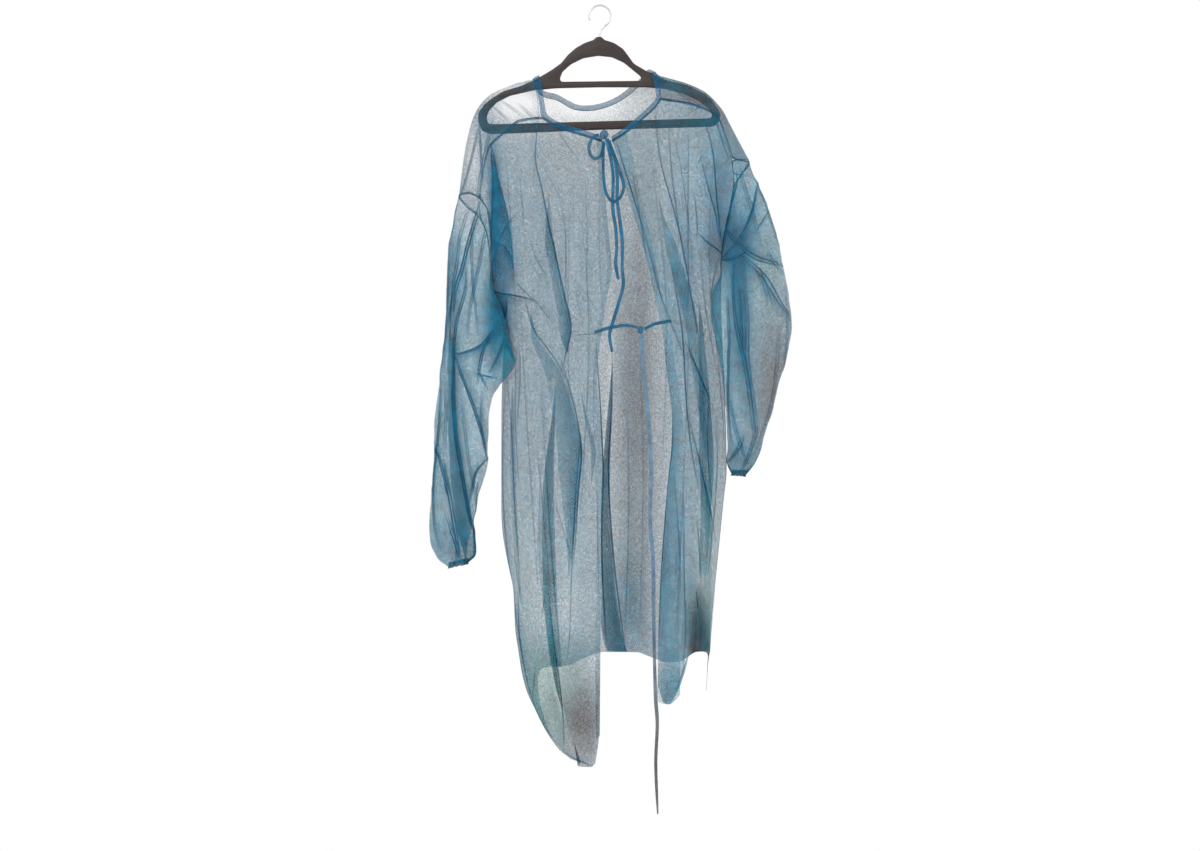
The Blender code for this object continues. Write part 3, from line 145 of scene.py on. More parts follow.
# Top edges of the back panels, shoulder seam then neck: share of the panel's width, x, y, height
LEFT_TOP = [
    (0, -218.8, -30, -357.8), (0.08, -213.3, -32, -319.2), (0.18, -202.3, -30, -264),
    (0.27, -174.7, -28, -236.5), (0.38, -147.1, -26, -214.8), (0.52, -108.5, -24, -208.9),
    (0.66, -73.6, -27, -227.3), (0.84, -27.6, -30, -241.6), (1, 3.7, -31, -251.2),
]
RIGHT_TOP = [
    (0, 240.9, -30, -284.3), (0.1, 228, -31, -242), (0.22, 213.3, -27, -205.2), (0.34, 191.3, -25, -192.3),
    (0.46, 165.5, -24, -183.1), (0.62, 112.2, -22, -173.9), (0.72, 103, -25, -186.8),
    (0.84, 75.4, -28, -212.6), (0.93, 46, -30, -236.5), (1, 22.1, -31, -251.2),
]

# Rows of the front panel where it goes over the hanger: x, y, height at each of these shares of its width
OVER_SHARES = (
    0, 0.02, 0.05, 0.09, 0.135, 0.19, 0.21, 0.225, 0.24, 0.255, 0.27, 0.295, 0.333, 0.4, 0.453,
    0.505, 0.558, 0.617, 0.65, 0.665, 0.68, 0.695, 0.71, 0.735, 0.786, 0.85, 0.905, 0.95, 1)
NEAR_SEAM = [
    (-219.9, -30, -357.3), (-214.4, -32, -318.8), (-203.2, -30, -262.9), (-175.4, -28, -235.3),
    (-147.5, -26, -212.3), (-110.3, -24, -205.1), (-115.9, -14, -157.4), (-119.5, -9, -137.4),
    (-122.3, 0, -132.5), (-118.6, 9, -137.4), (-114, 16, -153.7), (-101.1, 21, -163.8), (-80.9, 24, -168.4),
    (-46, 27, -185.9), (-18.4, 28, -187.7), (9.2, 27, -182.2), (36.8, 25, -170.3), (64.4, 20, -150),
    (80.9, 15, -133.5), (90.1, 9, -125.1), (98.4, 0, -121.1), (103.9, -9, -126.1), (108.5, -15, -146.2),
    (112.2, -21, -173.7), (165.5, -24, -182.3), (191.3, -25, -191.4), (214.1, -27, -204),
    (229.3, -31, -240.9), (242.2, -30, -283.2),
]
NEAR_SIDE = [
    (-239.1, -18, -345), (-235.4, -20, -304.5), (-226.2, -20, -251.2), (-217, -16, -206.6),
    (-194.9, -13, -172.7), (-149, -11.5, -148.8), (-137.9, -9.5, -142.6), (-130.6, -4, -138.2),
    (-126.9, 3, -135.8), (-123.2, 11, -140.8), (-117.7, 18, -159.2), (-101.1, 22, -171.2),
    (-80.9, 25.5, -175.8), (-46, 28.5, -193.2), (-18.4, 29.5, -195.1), (9.2, 28.5, -189.6),
    (36.8, 26.5, -177.6), (66.2, 22, -157.4), (84.6, 17.5, -142.7), (95.6, 12, -132.3), (104.8, 4, -126.2),
    (112.2, -6, -129.8), (117.7, -10.5, -136.1), (128.7, -11.5, -140), (161.8, -11.5, -148.3),
    (196.8, -13, -164.8), (217, -17, -191.8), (237.2, -21, -230.9), (259.3, -19, -284.3),
]
RIDGE = [
    (-259.3, 0, -348.6), (-253.8, 0, -302.7), (-246.4, 0, -254.9), (-230.8, 0, -199.3), (-204.1, 0, -165.6),
    (-156.3, 0, -144.5), (-145.3, 0, -140.8), (-137, 3, -138.2), (-131.5, 8, -137.1), (-126.9, 14, -146.4),
    (-121.4, 20, -166.6), (-101.1, 23.5, -179.5), (-80.9, 27, -183.1), (-46, 29.8, -199.7),
    (-18.4, 30.5, -201.5), (9.2, 29.5, -196), (36.8, 28, -185), (68, 24, -166.6), (88.3, 20, -151.9),
    (100.2, 14.5, -139.1), (111.3, 8, -130.4), (120.5, 3, -131.1), (127.8, 0, -132.9), (136.1, 0, -135.3),
    (163.7, 0, -144.5), (194.9, 0, -161.9), (224.4, 0, -190.5), (243.7, 0, -227.3), (274.9, 0, -285.2),
]
FAR_SIDE = [
    (-244.6, 18, -365.2), (-242.7, 18, -332.1), (-237.2, 18, -289.8), (-222.5, 15, -228.9),
    (-200.5, 12.5, -187.7), (-158.2, 11.5, -151.5), (-147.1, 11.5, -149.7), (-137.9, 13, -150.6),
    (-132.4, 16, -156.4), (-127.8, 20, -166), (-121.4, 24.5, -181.3), (-101.1, 28, -191.4),
    (-80.9, 30, -194.2), (-46, 31.7, -210.7), (-18.4, 32.2, -212.6), (9.2, 31.7, -208), (36.8, 30.5, -197.8),
    (68, 28, -183.1), (90.1, 25, -170.3), (103, 20.5, -156.8), (114, 15.5, -145.9), (123.2, 12.5, -142.2),
    (130.6, 11.5, -141.8), (137.9, 11.5, -142.8), (163.7, 11.5, -151.9), (194.9, 12.5, -171.6),
    (222.5, 15, -210.7), (241.8, 17, -256.7), (263, 18, -304.5),
]
FAR_TOP = [
    (-220.7, 32, -385.4), (-223.4, 33, -356), (-221.6, 34, -324.7), (-209.6, 34, -282.4),
    (-187.6, 33, -245.7), (-156.3, 31, -216.2), (-147.1, 31, -212.6), (-137.9, 31, -209.8),
    (-130.6, 31, -208.9), (-123.2, 31.5, -208.9), (-115.9, 32, -209.8), (-101.1, 32.5, -210.7),
    (-80.9, 33, -212.6), (-46, 34, -227.3), (-18.4, 34, -229.1), (9.2, 34, -225.4), (36.8, 33, -218.1),
    (68, 33, -208.9), (90.1, 32, -201.5), (103, 31.5, -198.8), (114, 31, -197.8), (123.2, 31, -198.8),
    (130.6, 31, -199.7), (137.9, 31, -201.5), (163.7, 32, -208.9), (194.9, 33, -225.4), (218.8, 34, -249.3),
    (237.2, 34, -282.4), (248.3, 32, -326.6),
]

# Hems: share of the panel's width, height
LEFT_HEM = [
    (0, -1367.4), (0.2, -1382.2), (0.4, -1394.1), (0.5, -1391.4), (0.6, -1384), (0.7, -1374.8),
    (0.82, -1361.9), (0.92, -1347.2), (1, -1330.7),
]
RIGHT_HEM = [
    (0, -1253.4), (0.1, -1258.9), (0.18, -1246.1), (0.23, -1209.3), (0.27, -1185.4), (0.42, -1176.2),
    (0.55, -1150.4), (0.68, -1121), (0.8, -1132.1), (0.84, -1165.2), (0.88, -1216.6), (0.92, -1260.8),
    (0.95, -1279.2), (0.975, -1275.5), (1, -1246.1),
]
FAR_HEM = [
    (0, -1367.4), (0.07, -1358.3), (0.13, -1334.3), (0.17, -1304.9), (0.21, -1257.1), (0.25, -1231.4),
    (0.32, -1218.5), (0.4, -1207.5), (0.47, -1198.3), (0.53, -1192.7), (0.6, -1201.9), (0.68, -1211.1),
    (0.78, -1209.3), (0.88, -1190.9), (0.95, -1189.1), (1, -1194.6),
]

# Lapped folds: height, x of the fold's edge, overlap, how far it is closed from 0 to 1
LAP_A = [
    (-264, -108.5, 14.7, 0), (-356, -95.6, 16.6, 0.5), (-447.9, -80.9, 20.2, 1), (-521.5, -64.4, 22.1, 1),
    (-585.9, -51.5, 25.7, 1), (-631.8, -55.2, 18.4, 0.7), (-653.9, -47.8, 11, 0.3), (-679.7, -33.1, 7.4, 0),
    (-751.4, -22.1, 7.4, 0), (-824.9, -9.2, 7.4, 0), (-1395, -11, 7.4, 0),
]
LAP_B = [
    (-411.2, -132.4, 14.7, 0), (-521.5, -130.6, 14.7, 0.25), (-604.3, -115.9, 22.1, 0.7),
    (-672.3, -69.9, 33.1, 1), (-751.4, -46, 44.1, 1), (-824.9, -31.3, 47.8, 1), (-907.7, -40.5, 29.4, 1),
    (-990.5, -47.8, 18.4, 0.8), (-1073.2, -57, 12.9, 0.4), (-1165.2, -58.8, 11, 0.1), (-1257.1, -51.5, 11, 0),
    (-1395, -36.8, 11, 0),
]
LAP_C = [
    (-356, -183.9, 11, 0), (-521.5, -174.7, 11, 0), (-613.5, -163.7, 11, 0), (-668.6, -160, 11, 0),
    (-714.6, -156.3, 12.9, 0.7), (-870.9, -150.8, 14.7, 1), (-1018, -145.3, 12.9, 1),
    (-1091.6, -139.8, 12.9, 0.7), (-1165.2, -128.7, 11, 0), (-1275.5, -110.3, 9.2, 0),
    (-1330.7, -86.4, 9.2, 0), (-1395, -46, 9.2, 0),
]
LAP_D = [
    (-356, -163.7, 11, 0), (-539.9, -152.6, 11, 0), (-613.5, -143.4, 11, 0), (-672.3, -132.4, 11, 0),
    (-779, -117.7, 11, 0), (-907.7, -108.5, 12.9, 0.6), (-1018, -99.3, 14.7, 1), (-1128.4, -86.4, 14.7, 1),
    (-1238.7, -73.6, 12.9, 0.9), (-1312.3, -62.5, 11, 0.3), (-1395, -34.9, 9.2, 0),
]
LAP_E = [
    (-245.7, 82.8, 11, 0), (-319.2, 93.8, 14.7, 0.25), (-383.6, 106.7, 16.6, 0.6), (-447.9, 119.5, 22.1, 1),
    (-521.5, 139.8, 23.9, 1), (-595.1, 156.3, 25.7, 1), (-668.6, 165.5, 25.7, 1), (-760.6, 178.4, 22.1, 0.9),
    (-852.5, 191.3, 16.6, 0.5), (-962.9, 193.1, 11, 0.1), (-1073.2, 187.6, 9.2, 0), (-1275.5, 183.9, 9.2, 0),
]
LAP_F = [
    (-503.1, 25.7, 9.2, 0), (-613.5, 23.9, 9.2, 0.3), (-723.8, 22.1, 12.9, 0.7), (-907.7, 18.4, 16.6, 1),
    (-1018, 23.9, 22.1, 1), (-1091.6, 29.4, 27.6, 1), (-1165.2, 40.5, 36.8, 1), (-1220.3, 55.2, 36.8, 1),
    (-1395, 73.6, 36.8, 1),
]
LAP_G = [
    (-595.1, -73.6, 11, 0), (-723.8, -80.9, 14.7, 0.6), (-907.7, -86.4, 22.1, 1), (-1091.6, -80.9, 25.7, 1),
    (-1238.7, -69.9, 22.1, 1), (-1395, -36.8, 18.4, 1),
]
LAP_H = [
    (-779, 183.9, 9.2, 0), (-907.7, 191.3, 14.7, 0.9), (-1091.6, 187.6, 16.6, 1), (-1183.5, 182.1, 16.6, 1),
    (-1395, 178.4, 16.6, 1),
]
LAP_S = [
    (-521.5, -272.2, 9.2, 0), (-595.1, -270.3, 11, 0.4), (-687, -264.8, 14.7, 1), (-852.5, -251.9, 20.2, 1),
    (-972.1, -242.7, 20.2, 1), (-1003.3, -246.4, 14.7, 0.5), (-1045.6, -250.1, 11, 0.2),
]

# Free edges turned back under the panel: height, length turned
TURN_L = [
    (-245.7, 7.4), (-687, 9.2), (-779, 11), (-1165.2, 11), (-1395, 9.2),
]
TURN_R = [
    (-245.7, 12.9), (-539.9, 14.7), (-687, 16.6), (-797.4, 22.1), (-907.7, 33.1), (-1091.6, 38.6),
    (-1275.5, 46),
]

# Flutes of each panel: x at the top and at the hem, half width, height of the crest at the top and at the hem
LEFT_FLUTES = [
    (-150, -122, 22, 2, 9), (-95, -88, 16, -2, -7), (-52, -48, 18, 1, 8), (-20, -18, 12, -1, -5),
]
RIGHT_FLUTES = [
    (210, 180, 16, -1, -6), (170, 150, 18, 2, 8), (110, 128, 14, -1, -6),
]
FAR_FLUTES = [
    (-205, -140, 22, -3, -15), (-170, -105, 24, 3, 15), (-110, -52, 22, -2, -14), (-60, -22, 22, 2, 12),
    (60, 62, 22, -2, -14), (110, 100, 20, 2, 14), (165, 135, 18, -2, -13), (205, 168, 18, 3, 12),
]

# Sleeves: height outside, height inside, x outside, x inside, y outside, y inside, depth near, depth far
LEFT_SLEEVE = [
    (-387.3, -543.6, -266.1, -183.9, 2, -8, 36, 31), (-431.4, -574.8, -277.1, -172.9, 0, -17, 36, 29),
    (-488.4, -617.1, -280.8, -164.6, -2, -25, 33, 27), (-558.3, -661.3, -280.8, -156.3, -6, -31, 30, 24),
    (-622.7, -698, -285.4, -183.9, -8, -29, 31, 27), (-696.2, -733, -295.5, -201.4, -10, -22, 33, 30),
    (-769.8, -779, -303.8, -205, -10, -20, 34, 32), (-837.8, -839.7, -305.6, -206, -10, -18, 34, 33),
    (-907.7, -907.7, -310.2, -222.5, -10, -16, 33, 33), (-962.9, -957.3, -313.9, -234.5, -12, -16, 31, 31),
    (-996, -986.8, -309, -229.9, -13, -15, 27, 27), (-1018, -1008.8, -294.2, -230.8, -14, -15, 20, 20),
    (-1029.1, -1019.9, -279.5, -241.8, -15, -15, 13, 13),
]
RIGHT_SLEEVE = [
    (-326.6, -493.9, 290.6, 219.4, 0, -12, 36, 31), (-374.4, -523.3, 309, 206.9, -2, -29, 36, 29),
    (-429.6, -558.3, 325.5, 202.3, -4, -36, 38, 27), (-488.4, -595.1, 338.4, 205.9, -6, -41, 40, 28),
    (-539.9, -631.8, 349.4, 213.3, -8, -43, 40, 30), (-587.7, -664.9, 353.6, 219.8, -10, -43, 39, 32),
    (-641, -701.7, 343.9, 226.2, -12, -41, 38, 32), (-696.2, -738.5, 329.7, 230.8, -14, -39, 36, 30),
    (-751.4, -775.3, 313.5, 233.6, -16, -37, 32, 28), (-801, -808.4, 297.9, 234.5, -18, -34, 26, 24),
    (-843.3, -843.3, 281.4, 233.6, -20, -30, 19, 19), (-859.9, -858, 266.7, 240.9, -22, -28, 11.5, 11.5),
]

# Armholes from the underarm up the near side and down the far side: share of the way round, x, y, height
LEFT_ARMHOLE = [
    (0, -200.6, -1, -525.2), (0.12, -200.6, -17.5, -460.8), (0.24, -201.4, -30.5, -399.2),
    (0.31, -206.3, -32, -377.7), (0.39, -219.9, -30, -358.6), (0.45, -239.1, -18, -346.8),
    (0.5, -260.4, 0, -350.5), (0.6, -246.4, 18, -367.9), (0.7, -222.9, 32, -388.7), (0.78, -208.9, 30, -424),
    (0.88, -203.4, 18, -473.7),
]
RIGHT_ARMHOLE = [
    (0, 221.2, -1.5, -475.5), (0.12, 228.2, -16.5, -424), (0.24, 240, -28.5, -367.9),
    (0.31, 245.3, -31.5, -322.5), (0.39, 241.8, -30, -286.5), (0.45, 259.7, -18, -286.5),
    (0.5, 275.9, 0, -289.1), (0.6, 263.3, 18, -306.9), (0.7, 249, 32, -329.1), (0.78, 240.4, 28.5, -369.2),
    (0.88, 227.9, 17, -424.4),
]

# Neck binding from the left back edge round to the right one: x, y, height low, x, y, height high
NECK_LINE = [
    (3.7, -31, -251.2, 2.8, -31.5, -242.5), (-27.6, -30, -240.1, -24.8, -30.5, -232.4),
    (-73.6, -27, -225.4, -69.9, -27.5, -218.1), (-97.5, -25, -213.5, -92.9, -25.5, -205.7),
    (-106.7, -24, -203.4, -99.3, -24.5, -196), (-109.2, -20, -184.4, -101.5, -20, -181.7),
    (-114, -14, -157.4, -106.3, -14, -154.6), (-117.7, -9, -137.4, -109.8, -8.5, -133),
    (-120.5, 0, -131.8, -112.6, 0, -127.4), (-117, 9, -136.9, -109.1, 8.5, -132.5),
    (-112.5, 16, -155.7, -106.7, 15.5, -149.6), (-101.1, 21, -162.9, -97.5, 20.7, -155.2),
    (-80.9, 24, -167.7, -79.1, 23.7, -159.6), (-46, 27, -185.2, -44.1, 26.7, -177.1),
    (-18.4, 28, -187, -18.4, 27.7, -178.9), (9.2, 27, -181.5, 7.9, 26.7, -173.6),
    (36.8, 25, -169.5, 34, 24.7, -161.8), (63.6, 20, -149.5, 59.4, 19.7, -143),
    (80.2, 15, -136.2, 74.7, 14.7, -130.5), (89.4, 9, -124.6, 81.5, 8.7, -121.1),
    (97.3, 0, -120.4, 89.4, 0, -116.9), (102.2, -9, -125.7, 94.3, -9, -122.2),
    (107.2, -15, -145.8, 99.5, -15, -144), (110.7, -21, -168.4, 103, -21, -166.2),
    (109.1, -22.7, -175, 101.9, -22.9, -170.6), (102.2, -25, -186.1, 96, -25.4, -180.4),
    (74.8, -28, -212, 70.1, -28.4, -205.2), (45.4, -30, -235.7, 40.8, -30.4, -229.1),
    (22.8, -31, -250.8, 20.6, -31.5, -242.7),
]

# Ties: x, y, height along each strip
KNOT_C = (7.4, -36.1, -240.1)
LOOP_SMALL = [
    (-2.1, -37.7, -240.1), (-11.8, -42, -244.9), (-19.3, -44, -258.5), (-19.3, -44.5, -273.2),
    (-11, -45, -284.3), (0, -44.5, -280.6), (5.5, -43.8, -267.7), (6.6, -42.8, -254.9),
]
LOOP_LONG = [
    (5.9, -45.9, -252.1), (5.9, -47, -282.4), (6.6, -48, -319.2), (11, -48.5, -346.8), (20.2, -49, -361.5),
    (29.4, -49, -362.4), (39.5, -48.5, -350.5), (43.2, -48, -332.1), (34.9, -47.5, -304.5),
    (23.9, -45.5, -273.2), (16.6, -42.5, -254.9), (13.2, -38.8, -248.6),
]
TAIL_A = [
    (10.1, -41.4, -242.5), (11.6, -48.7, -250.8), (15.6, -51, -265.9), (20.2, -52, -288),
    (23.9, -52.5, -319.2), (23, -53, -361.5), (23.9, -53, -383.6), (28.5, -53, -411.2), (30.3, -53, -447.9),
    (28.5, -53, -475.5), (33.1, -53, -505),
]
TAIL_B = [
    (16.2, -52.5, -252.1), (25.4, -54.5, -282.4), (31.3, -55.5, -319.2), (31.3, -56, -361.5),
    (36.8, -56, -403.8), (40.5, -56, -438.8), (40.5, -56, -484.7), (42.3, -55.5, -516), (33.1, -55, -550.9),
    (22.1, -55, -587.7), (17.5, -55, -607.9), (22.1, -55, -637.4),
]
WAIST_L = [
    (-10.1, -39.4, -601.5), (5.5, -39.6, -596), (14.7, -41.5, -593.2), (25.7, -46, -591.4), (46, -49, -588.6),
    (68.5, -50.9, -592.5),
]
WAIST_R = [
    (80.5, -50.8, -595.4), (93.8, -46, -588.6), (102.1, -39.5, -585), (112.2, -36.7, -583.1),
    (130.6, -31.5, -579.4),
]
WAIST_C = (73.6, -51, -596.9)
WAIST_T = [
    (74.1, -51.5, -604.8), (80.9, -54, -687), (88.3, -56, -760.6), (92.9, -59, -852.5), (91.1, -62, -944.5),
    (96.5, -64, -1018), (97.5, -66, -1128.4), (100.6, -68, -1257.1), (103.9, -68, -1312.3),
    (101.2, -68, -1385.8), (104.8, -68, -1475.9),
]

# Hanger outline, its eye and its wide opening: x, height
HANGER_OUT = [
    (-6.8, -56.2), (3.1, -56.2), (7.4, -61.8), (25.7, -67.3), (42.3, -78.3), (53.3, -93), (62.5, -105.9),
    (84.6, -118.8), (125.1, -137.2), (161.8, -145.4), (189.4, -159.2), (206, -173), (217, -188.6),
    (222.5, -199.7), (217, -216.2), (206, -221.7), (0, -227.3), (-202.3, -235.5), (-217, -229.1),
    (-224.4, -212.6), (-223.8, -196), (-213.3, -181.3), (-198.6, -169.3), (-178.4, -156.5), (-147.1, -147.3),
    (-117.7, -134.4), (-88.3, -116.9), (-71.7, -105), (-58.8, -89.3), (-44.1, -76.5), (-27.6, -67.3),
    (-11, -61.8),
]
HANGER_EYE = [
    (-73.6, -133.5), (-69, -120.6), (-53.3, -106.8), (-31.3, -95.8), (-3.7, -91.2), (22.1, -93.9),
    (44.1, -104.1), (60.7, -117.8), (75.4, -129.8), (75.4, -137.2), (-71.7, -139),
]
HANGER_MOUTH = [
    (-204.1, -217.2), (-208.7, -205.2), (-204.1, -192.3), (-189.4, -176.7), (-165.5, -164.7),
    (-121.4, -154.6), (-80.9, -150.9), (0, -149.1), (84.6, -149.1), (117.7, -151.9), (154.5, -161.1),
    (182.1, -174.9), (200.5, -188.6), (206.9, -199.7), (204.1, -206.1), (0, -211.6),
]

# Creases: half width, lift, line, shade, reach of the shade (less than 0 to the other side), then the x
# and height of each point. Line and shade are painted shade along and beside each crease.
CREASES_LEFT = [
    (4, 3, 0.75, 0.35, -15, -114, -203, -116, -247, -121, -288, -105, -336, -97, -389, -85, -441, -74, -494,
      -64, -538), (3, 1.5, 0.45, 0, 7, -70, -371, -61, -424, -63, -510, -64, -538),
    (4, 3, 0.7, 0.55, -20, -64, -538, -50, -590, -55, -612, -68, -665),
    (4, 2, 0.6, 0.2, 11, -136, -542, -125, -595, -103, -621, -75, -659, -63, -687),
    (5, 3, 0.7, 0.4, -24, -68, -661, -51, -715, -39, -770, -31, -825, -39, -871, -42, -944, -48, -1018),
    (6, 4, 0.5, 1.5, -31, -197, -264, -188, -305, -182, -336, -171, -373, -164, -411, -160, -457, -158, -496),
    (3, 2, 0.95, 1.5, 20, -199, -268, -195, -338, -199, -402, -199, -466, -200, -529),
    (3, 2, 0.8, 1.6, 17, -199, -529, -186, -558, -182, -591, -173, -623, -160, -647),
    (3, 2, 0.6, 0.1, 9, -153, -384, -173, -406, -189, -441, -195, -470),
    (3, 2, 0.5, 0.2, -11, -197, -431, -178, -441, -164, -453, -158, -488),
    (4, 3, 0.85, 0.5, -22, -199, -523, -182, -529, -164, -531, -143, -536, -121, -542),
    (3, 1.5, 0.4, 0.15, -13, -158, -503, -142, -522, -121, -542),
    (3, 3, 0.9, 0.3, 11, -200, -529, -193, -544, -186, -558, -182, -590, -173, -619, -160, -647),
    (3, 3, 0.9, 0.4, -11, -173, -533, -169, -558, -178, -590, -177, -615, -160, -643),
    (3, 1.5, 0.35, 0.1, 11, -120, -542, -105, -558, -90, -580),
    (4, 1.5, 0.2, 0.05, 11, -46, -520, -39, -551, -33, -580),
    (4, 1.5, 0.2, 0, 11, -55, -494, -15, -545, 2, -573),
    (4, 1.5, 0.25, 0.1, 15, -129, -424, -116, -476, -94, -498),
    (3, 1.2, 0.35, 0.05, 9, -50, -608, -28, -604, -6, -604),
    (5, 2, 0.12, 0.18, -18, -53, -282, -44, -316, -50, -362, -46, -431),
    (4, 2, 0.2, 0.12, 17, -103, -301, -85, -334, -68, -362),
    (4, 2, 0.3, 0.1, -13, -147, -319, -140, -380, -140, -415),
    (3, 1.5, 0.4, 0.1, 9, -154, -645, -156, -724, -154, -797, -149, -875),
    (3, 1.5, 0.4, 0.2, -13, -147, -636, -145, -687, -151, -761),
    (4, 2, 0.35, 0.12, 13, -116, -807, -109, -871, -103, -944, -96, -1018, -88, -1092),
    (4, 2, 0.3, 0.12, -15, -81, -917, -68, -954, -55, -1003),
    (5, 2.5, 0.45, 0.25, -18, -94, -1044, -90, -1128, -79, -1202, -66, -1298, -66, -1371),
    (4, 2, 0.4, 0.15, -15, -35, -797, -44, -871, -48, -981, -53, -1053, -53, -1128, -59, -1193),
    (4, 2, 0.5, 0.15, 11, -149, -1075, -151, -1149, -138, -1211),
    (3, 1.5, 0.35, 0, 9, -118, -1211, -123, -1263),
    (5, 3, 0.55, 0.35, 17, -175, -687, -178, -779, -180, -871, -175, -981, -160, -1073, -154, -1128, -136,
      -1246, -105, -1325, -66, -1367), (3, 1.5, 0.25, 0, 9, -101, -1084, -107, -1123),
    (3, 1.5, 0.35, 0.1, 9, -175, -669, -166, -724, -160, -797, -158, -908, -147, -1036),
    (4, 2, 0.2, 0.1, 15, -7, -632, -15, -724, -7, -834, -4, -981, -2, -1092),
    (3, 1.5, 0.5, 0.2, 9, -63, -1371, -40, -1382, -18, -1390),
    (4, 1.5, 0.25, 0.1, 15, -81, -224, -63, -257, -40, -282),
    (3, 2, 0.3, 0.1, 11, -28, -319, -22, -411, -26, -522, -18, -573),
]
CREASES_RIGHT = [
    (4, 2.5, 0.6, 0.15, 13, 33, -262, 46, -305, 66, -371, 77, -406),
    (4, 3, 0.45, 0.3, 17, 77, -406, 90, -450, 105, -520, 127, -580, 153, -643),
    (4, 3, 0.7, 0.3, 17, 101, -200, 105, -247, 110, -292, 131, -362, 149, -431, 166, -533, 177, -595),
    (3, 2, 0.55, 0.1, 9, 125, -227, 131, -314, 140, -380, 145, -415),
    (5, 3, 0.4, 0.25, -15, 162, -231, 162, -292, 160, -380, 162, -488, 160, -555),
    (3, 1.5, 0.3, 0, 9, 177, -297, 184, -282, 189, -275),
    (4, 3, 0.65, 0.35, 17, 186, -288, 197, -336, 215, -396, 219, -431),
    (3, 2, 0.5, 0.1, 9, 173, -354, 178, -396, 177, -428),
    (3, 2, 0.7, 0.2, -11, 180, -420, 197, -437, 217, -448, 228, -459),
    (3, 2.5, 0.7, 0.3, 11, 193, -218, 206, -262, 210, -305, 213, -356, 219, -407, 224, -448),
    (3, 2, 0.55, 0.25, 13, 215, -472, 210, -494, 202, -533, 208, -577, 223, -612, 237, -678),
    (3, 2, 0.4, 0.2, -11, 230, -476, 219, -510, 204, -534),
    (4, 3, 0.7, 0.3, 15, 132, -485, 140, -540, 151, -595, 154, -672, 158, -748, 167, -825, 177, -871),
    (3, 2, 0.75, 0.2, -11, 160, -626, 173, -658, 186, -687, 199, -718),
    (4, 3, 0.65, 0.4, -22, 166, -773, 186, -851, 206, -943, 211, -978),
    (3, 2, 0.5, 0.1, 9, 178, -952, 182, -1000, 184, -1044),
    (5, 3, 0.5, 0.45, 22, 118, -626, 125, -718, 134, -764, 131, -825, 121, -882, 118, -952, 110, -1036, 107,
      -1165), (4, 2, 0.5, 0.25, -17, 153, -908, 153, -981, 153, -1062, 158, -1149, 151, -1220),
    (4, 2, 0.45, 0.2, 17, 178, -1073, 173, -1147, 158, -1202, 140, -1250),
    (4, 2, 0.3, 0.15, -15, 134, -853, 138, -897, 147, -1014, 147, -1092),
    (4, 2, 0.35, 0.2, 15, 199, -724, 195, -797, 200, -871, 210, -944),
    (4, 2, 0.3, 0.15, 11, 213, -595, 217, -669, 224, -724, 228, -797),
    (3, 1.5, 0.3, 0.1, 9, 184, -457, 188, -522, 199, -595, 213, -669),
    (3, 1.5, 0.3, 0.1, -11, 142, -264, 154, -338, 166, -430, 169, -485),
    (5, 2.5, 0.2, 0.15, 18, 92, -264, 103, -356, 114, -466, 125, -577),
    (3, 1.5, 0.4, 0.2, -11, 213, -761, 217, -853, 206, -963, 199, -1036),
    (3, 1.5, 0.35, 0.1, 9, 61, -319, 74, -393, 85, -470, 92, -540, 103, -595),
]
CREASES_FRONT = [
    (4, 4, 0.7, 0.15, 11, -7, -626, 0, -722, 4, -799, 7, -876, 2, -952, 4, -1055, 11, -1165),
    (4, 4, 0.6, 0.15, -17, 22, -626, 24, -748, 13, -840, 20, -952, 28, -1055, 48, -1193),
    (5, -3, 0.15, 0.12, 15, 74, -650, 83, -853, 74, -1128),
    (4, -2.5, 0.2, 0.1, 15, 51, -761, 55, -944, 46, -1165),
    (6, -4, 0.2, 0.15, 22, -110, -687, -96, -944, -74, -1202),
    (6, 3, 0.15, 0.12, -22, -55, -356, -63, -595, -51, -853),
    (6, -4, 0.2, 0.1, 18, 166, -595, 156, -853, 143, -1128),
    (6, 4, 0.2, 0.1, 18, -147, -577, -132, -834, -114, -1092),
    (6, 3, 0.15, 0.1, 18, 110, -356, 129, -595, 114, -871),
    (5, -2, 0.15, 0.1, 15, 0, -282, -4, -430, 7, -595),
    (3, 3, 0.4, 0.3, 11, 178, -1073, 184, -1128, 189, -1193, 195, -1257),
    (3, 1.5, 0.35, 0.05, 9, -199, -183, -184, -196, -169, -209),
    (3, 1.5, 0.35, 0.05, 9, -182, -174, -162, -187, -142, -202),
    (3, 1.5, 0.35, 0.05, 9, -147, -183, -136, -192, -125, -202),
    (3, 2, 0.5, 0.1, 11, -223, -222, -241, -301, -256, -345),
    (3, 2, 0.5, 0.15, -11, -221, -222, -219, -270, -217, -314),
    (3, 2, 0.45, 0.2, 15, -200, -216, -210, -264, -221, -316, -226, -349),
    (4, 1.5, 0.3, 0, 9, 132, -143, 154, -165, 180, -183),
    (4, 2.5, 0.5, 0.2, 11, 191, -157, 213, -202, 232, -264, 241, -282),
    (4, 1.5, 0.3, 0.1, 11, 164, -194, 184, -183, 215, -168),
    (5, 2, 0.2, 0.1, 15, 248, -209, 261, -246, 272, -282),
    (5, -3, 0.2, 0.1, 15, 211, -264, 199, -430, 206, -595),
    (5, -3, 0.2, 0.1, -15, -175, -264, -162, -430, -154, -595),
    (4, 2, 0.2, 0.1, 15, -28, -448, -18, -595, -26, -761, -37, -944),
]
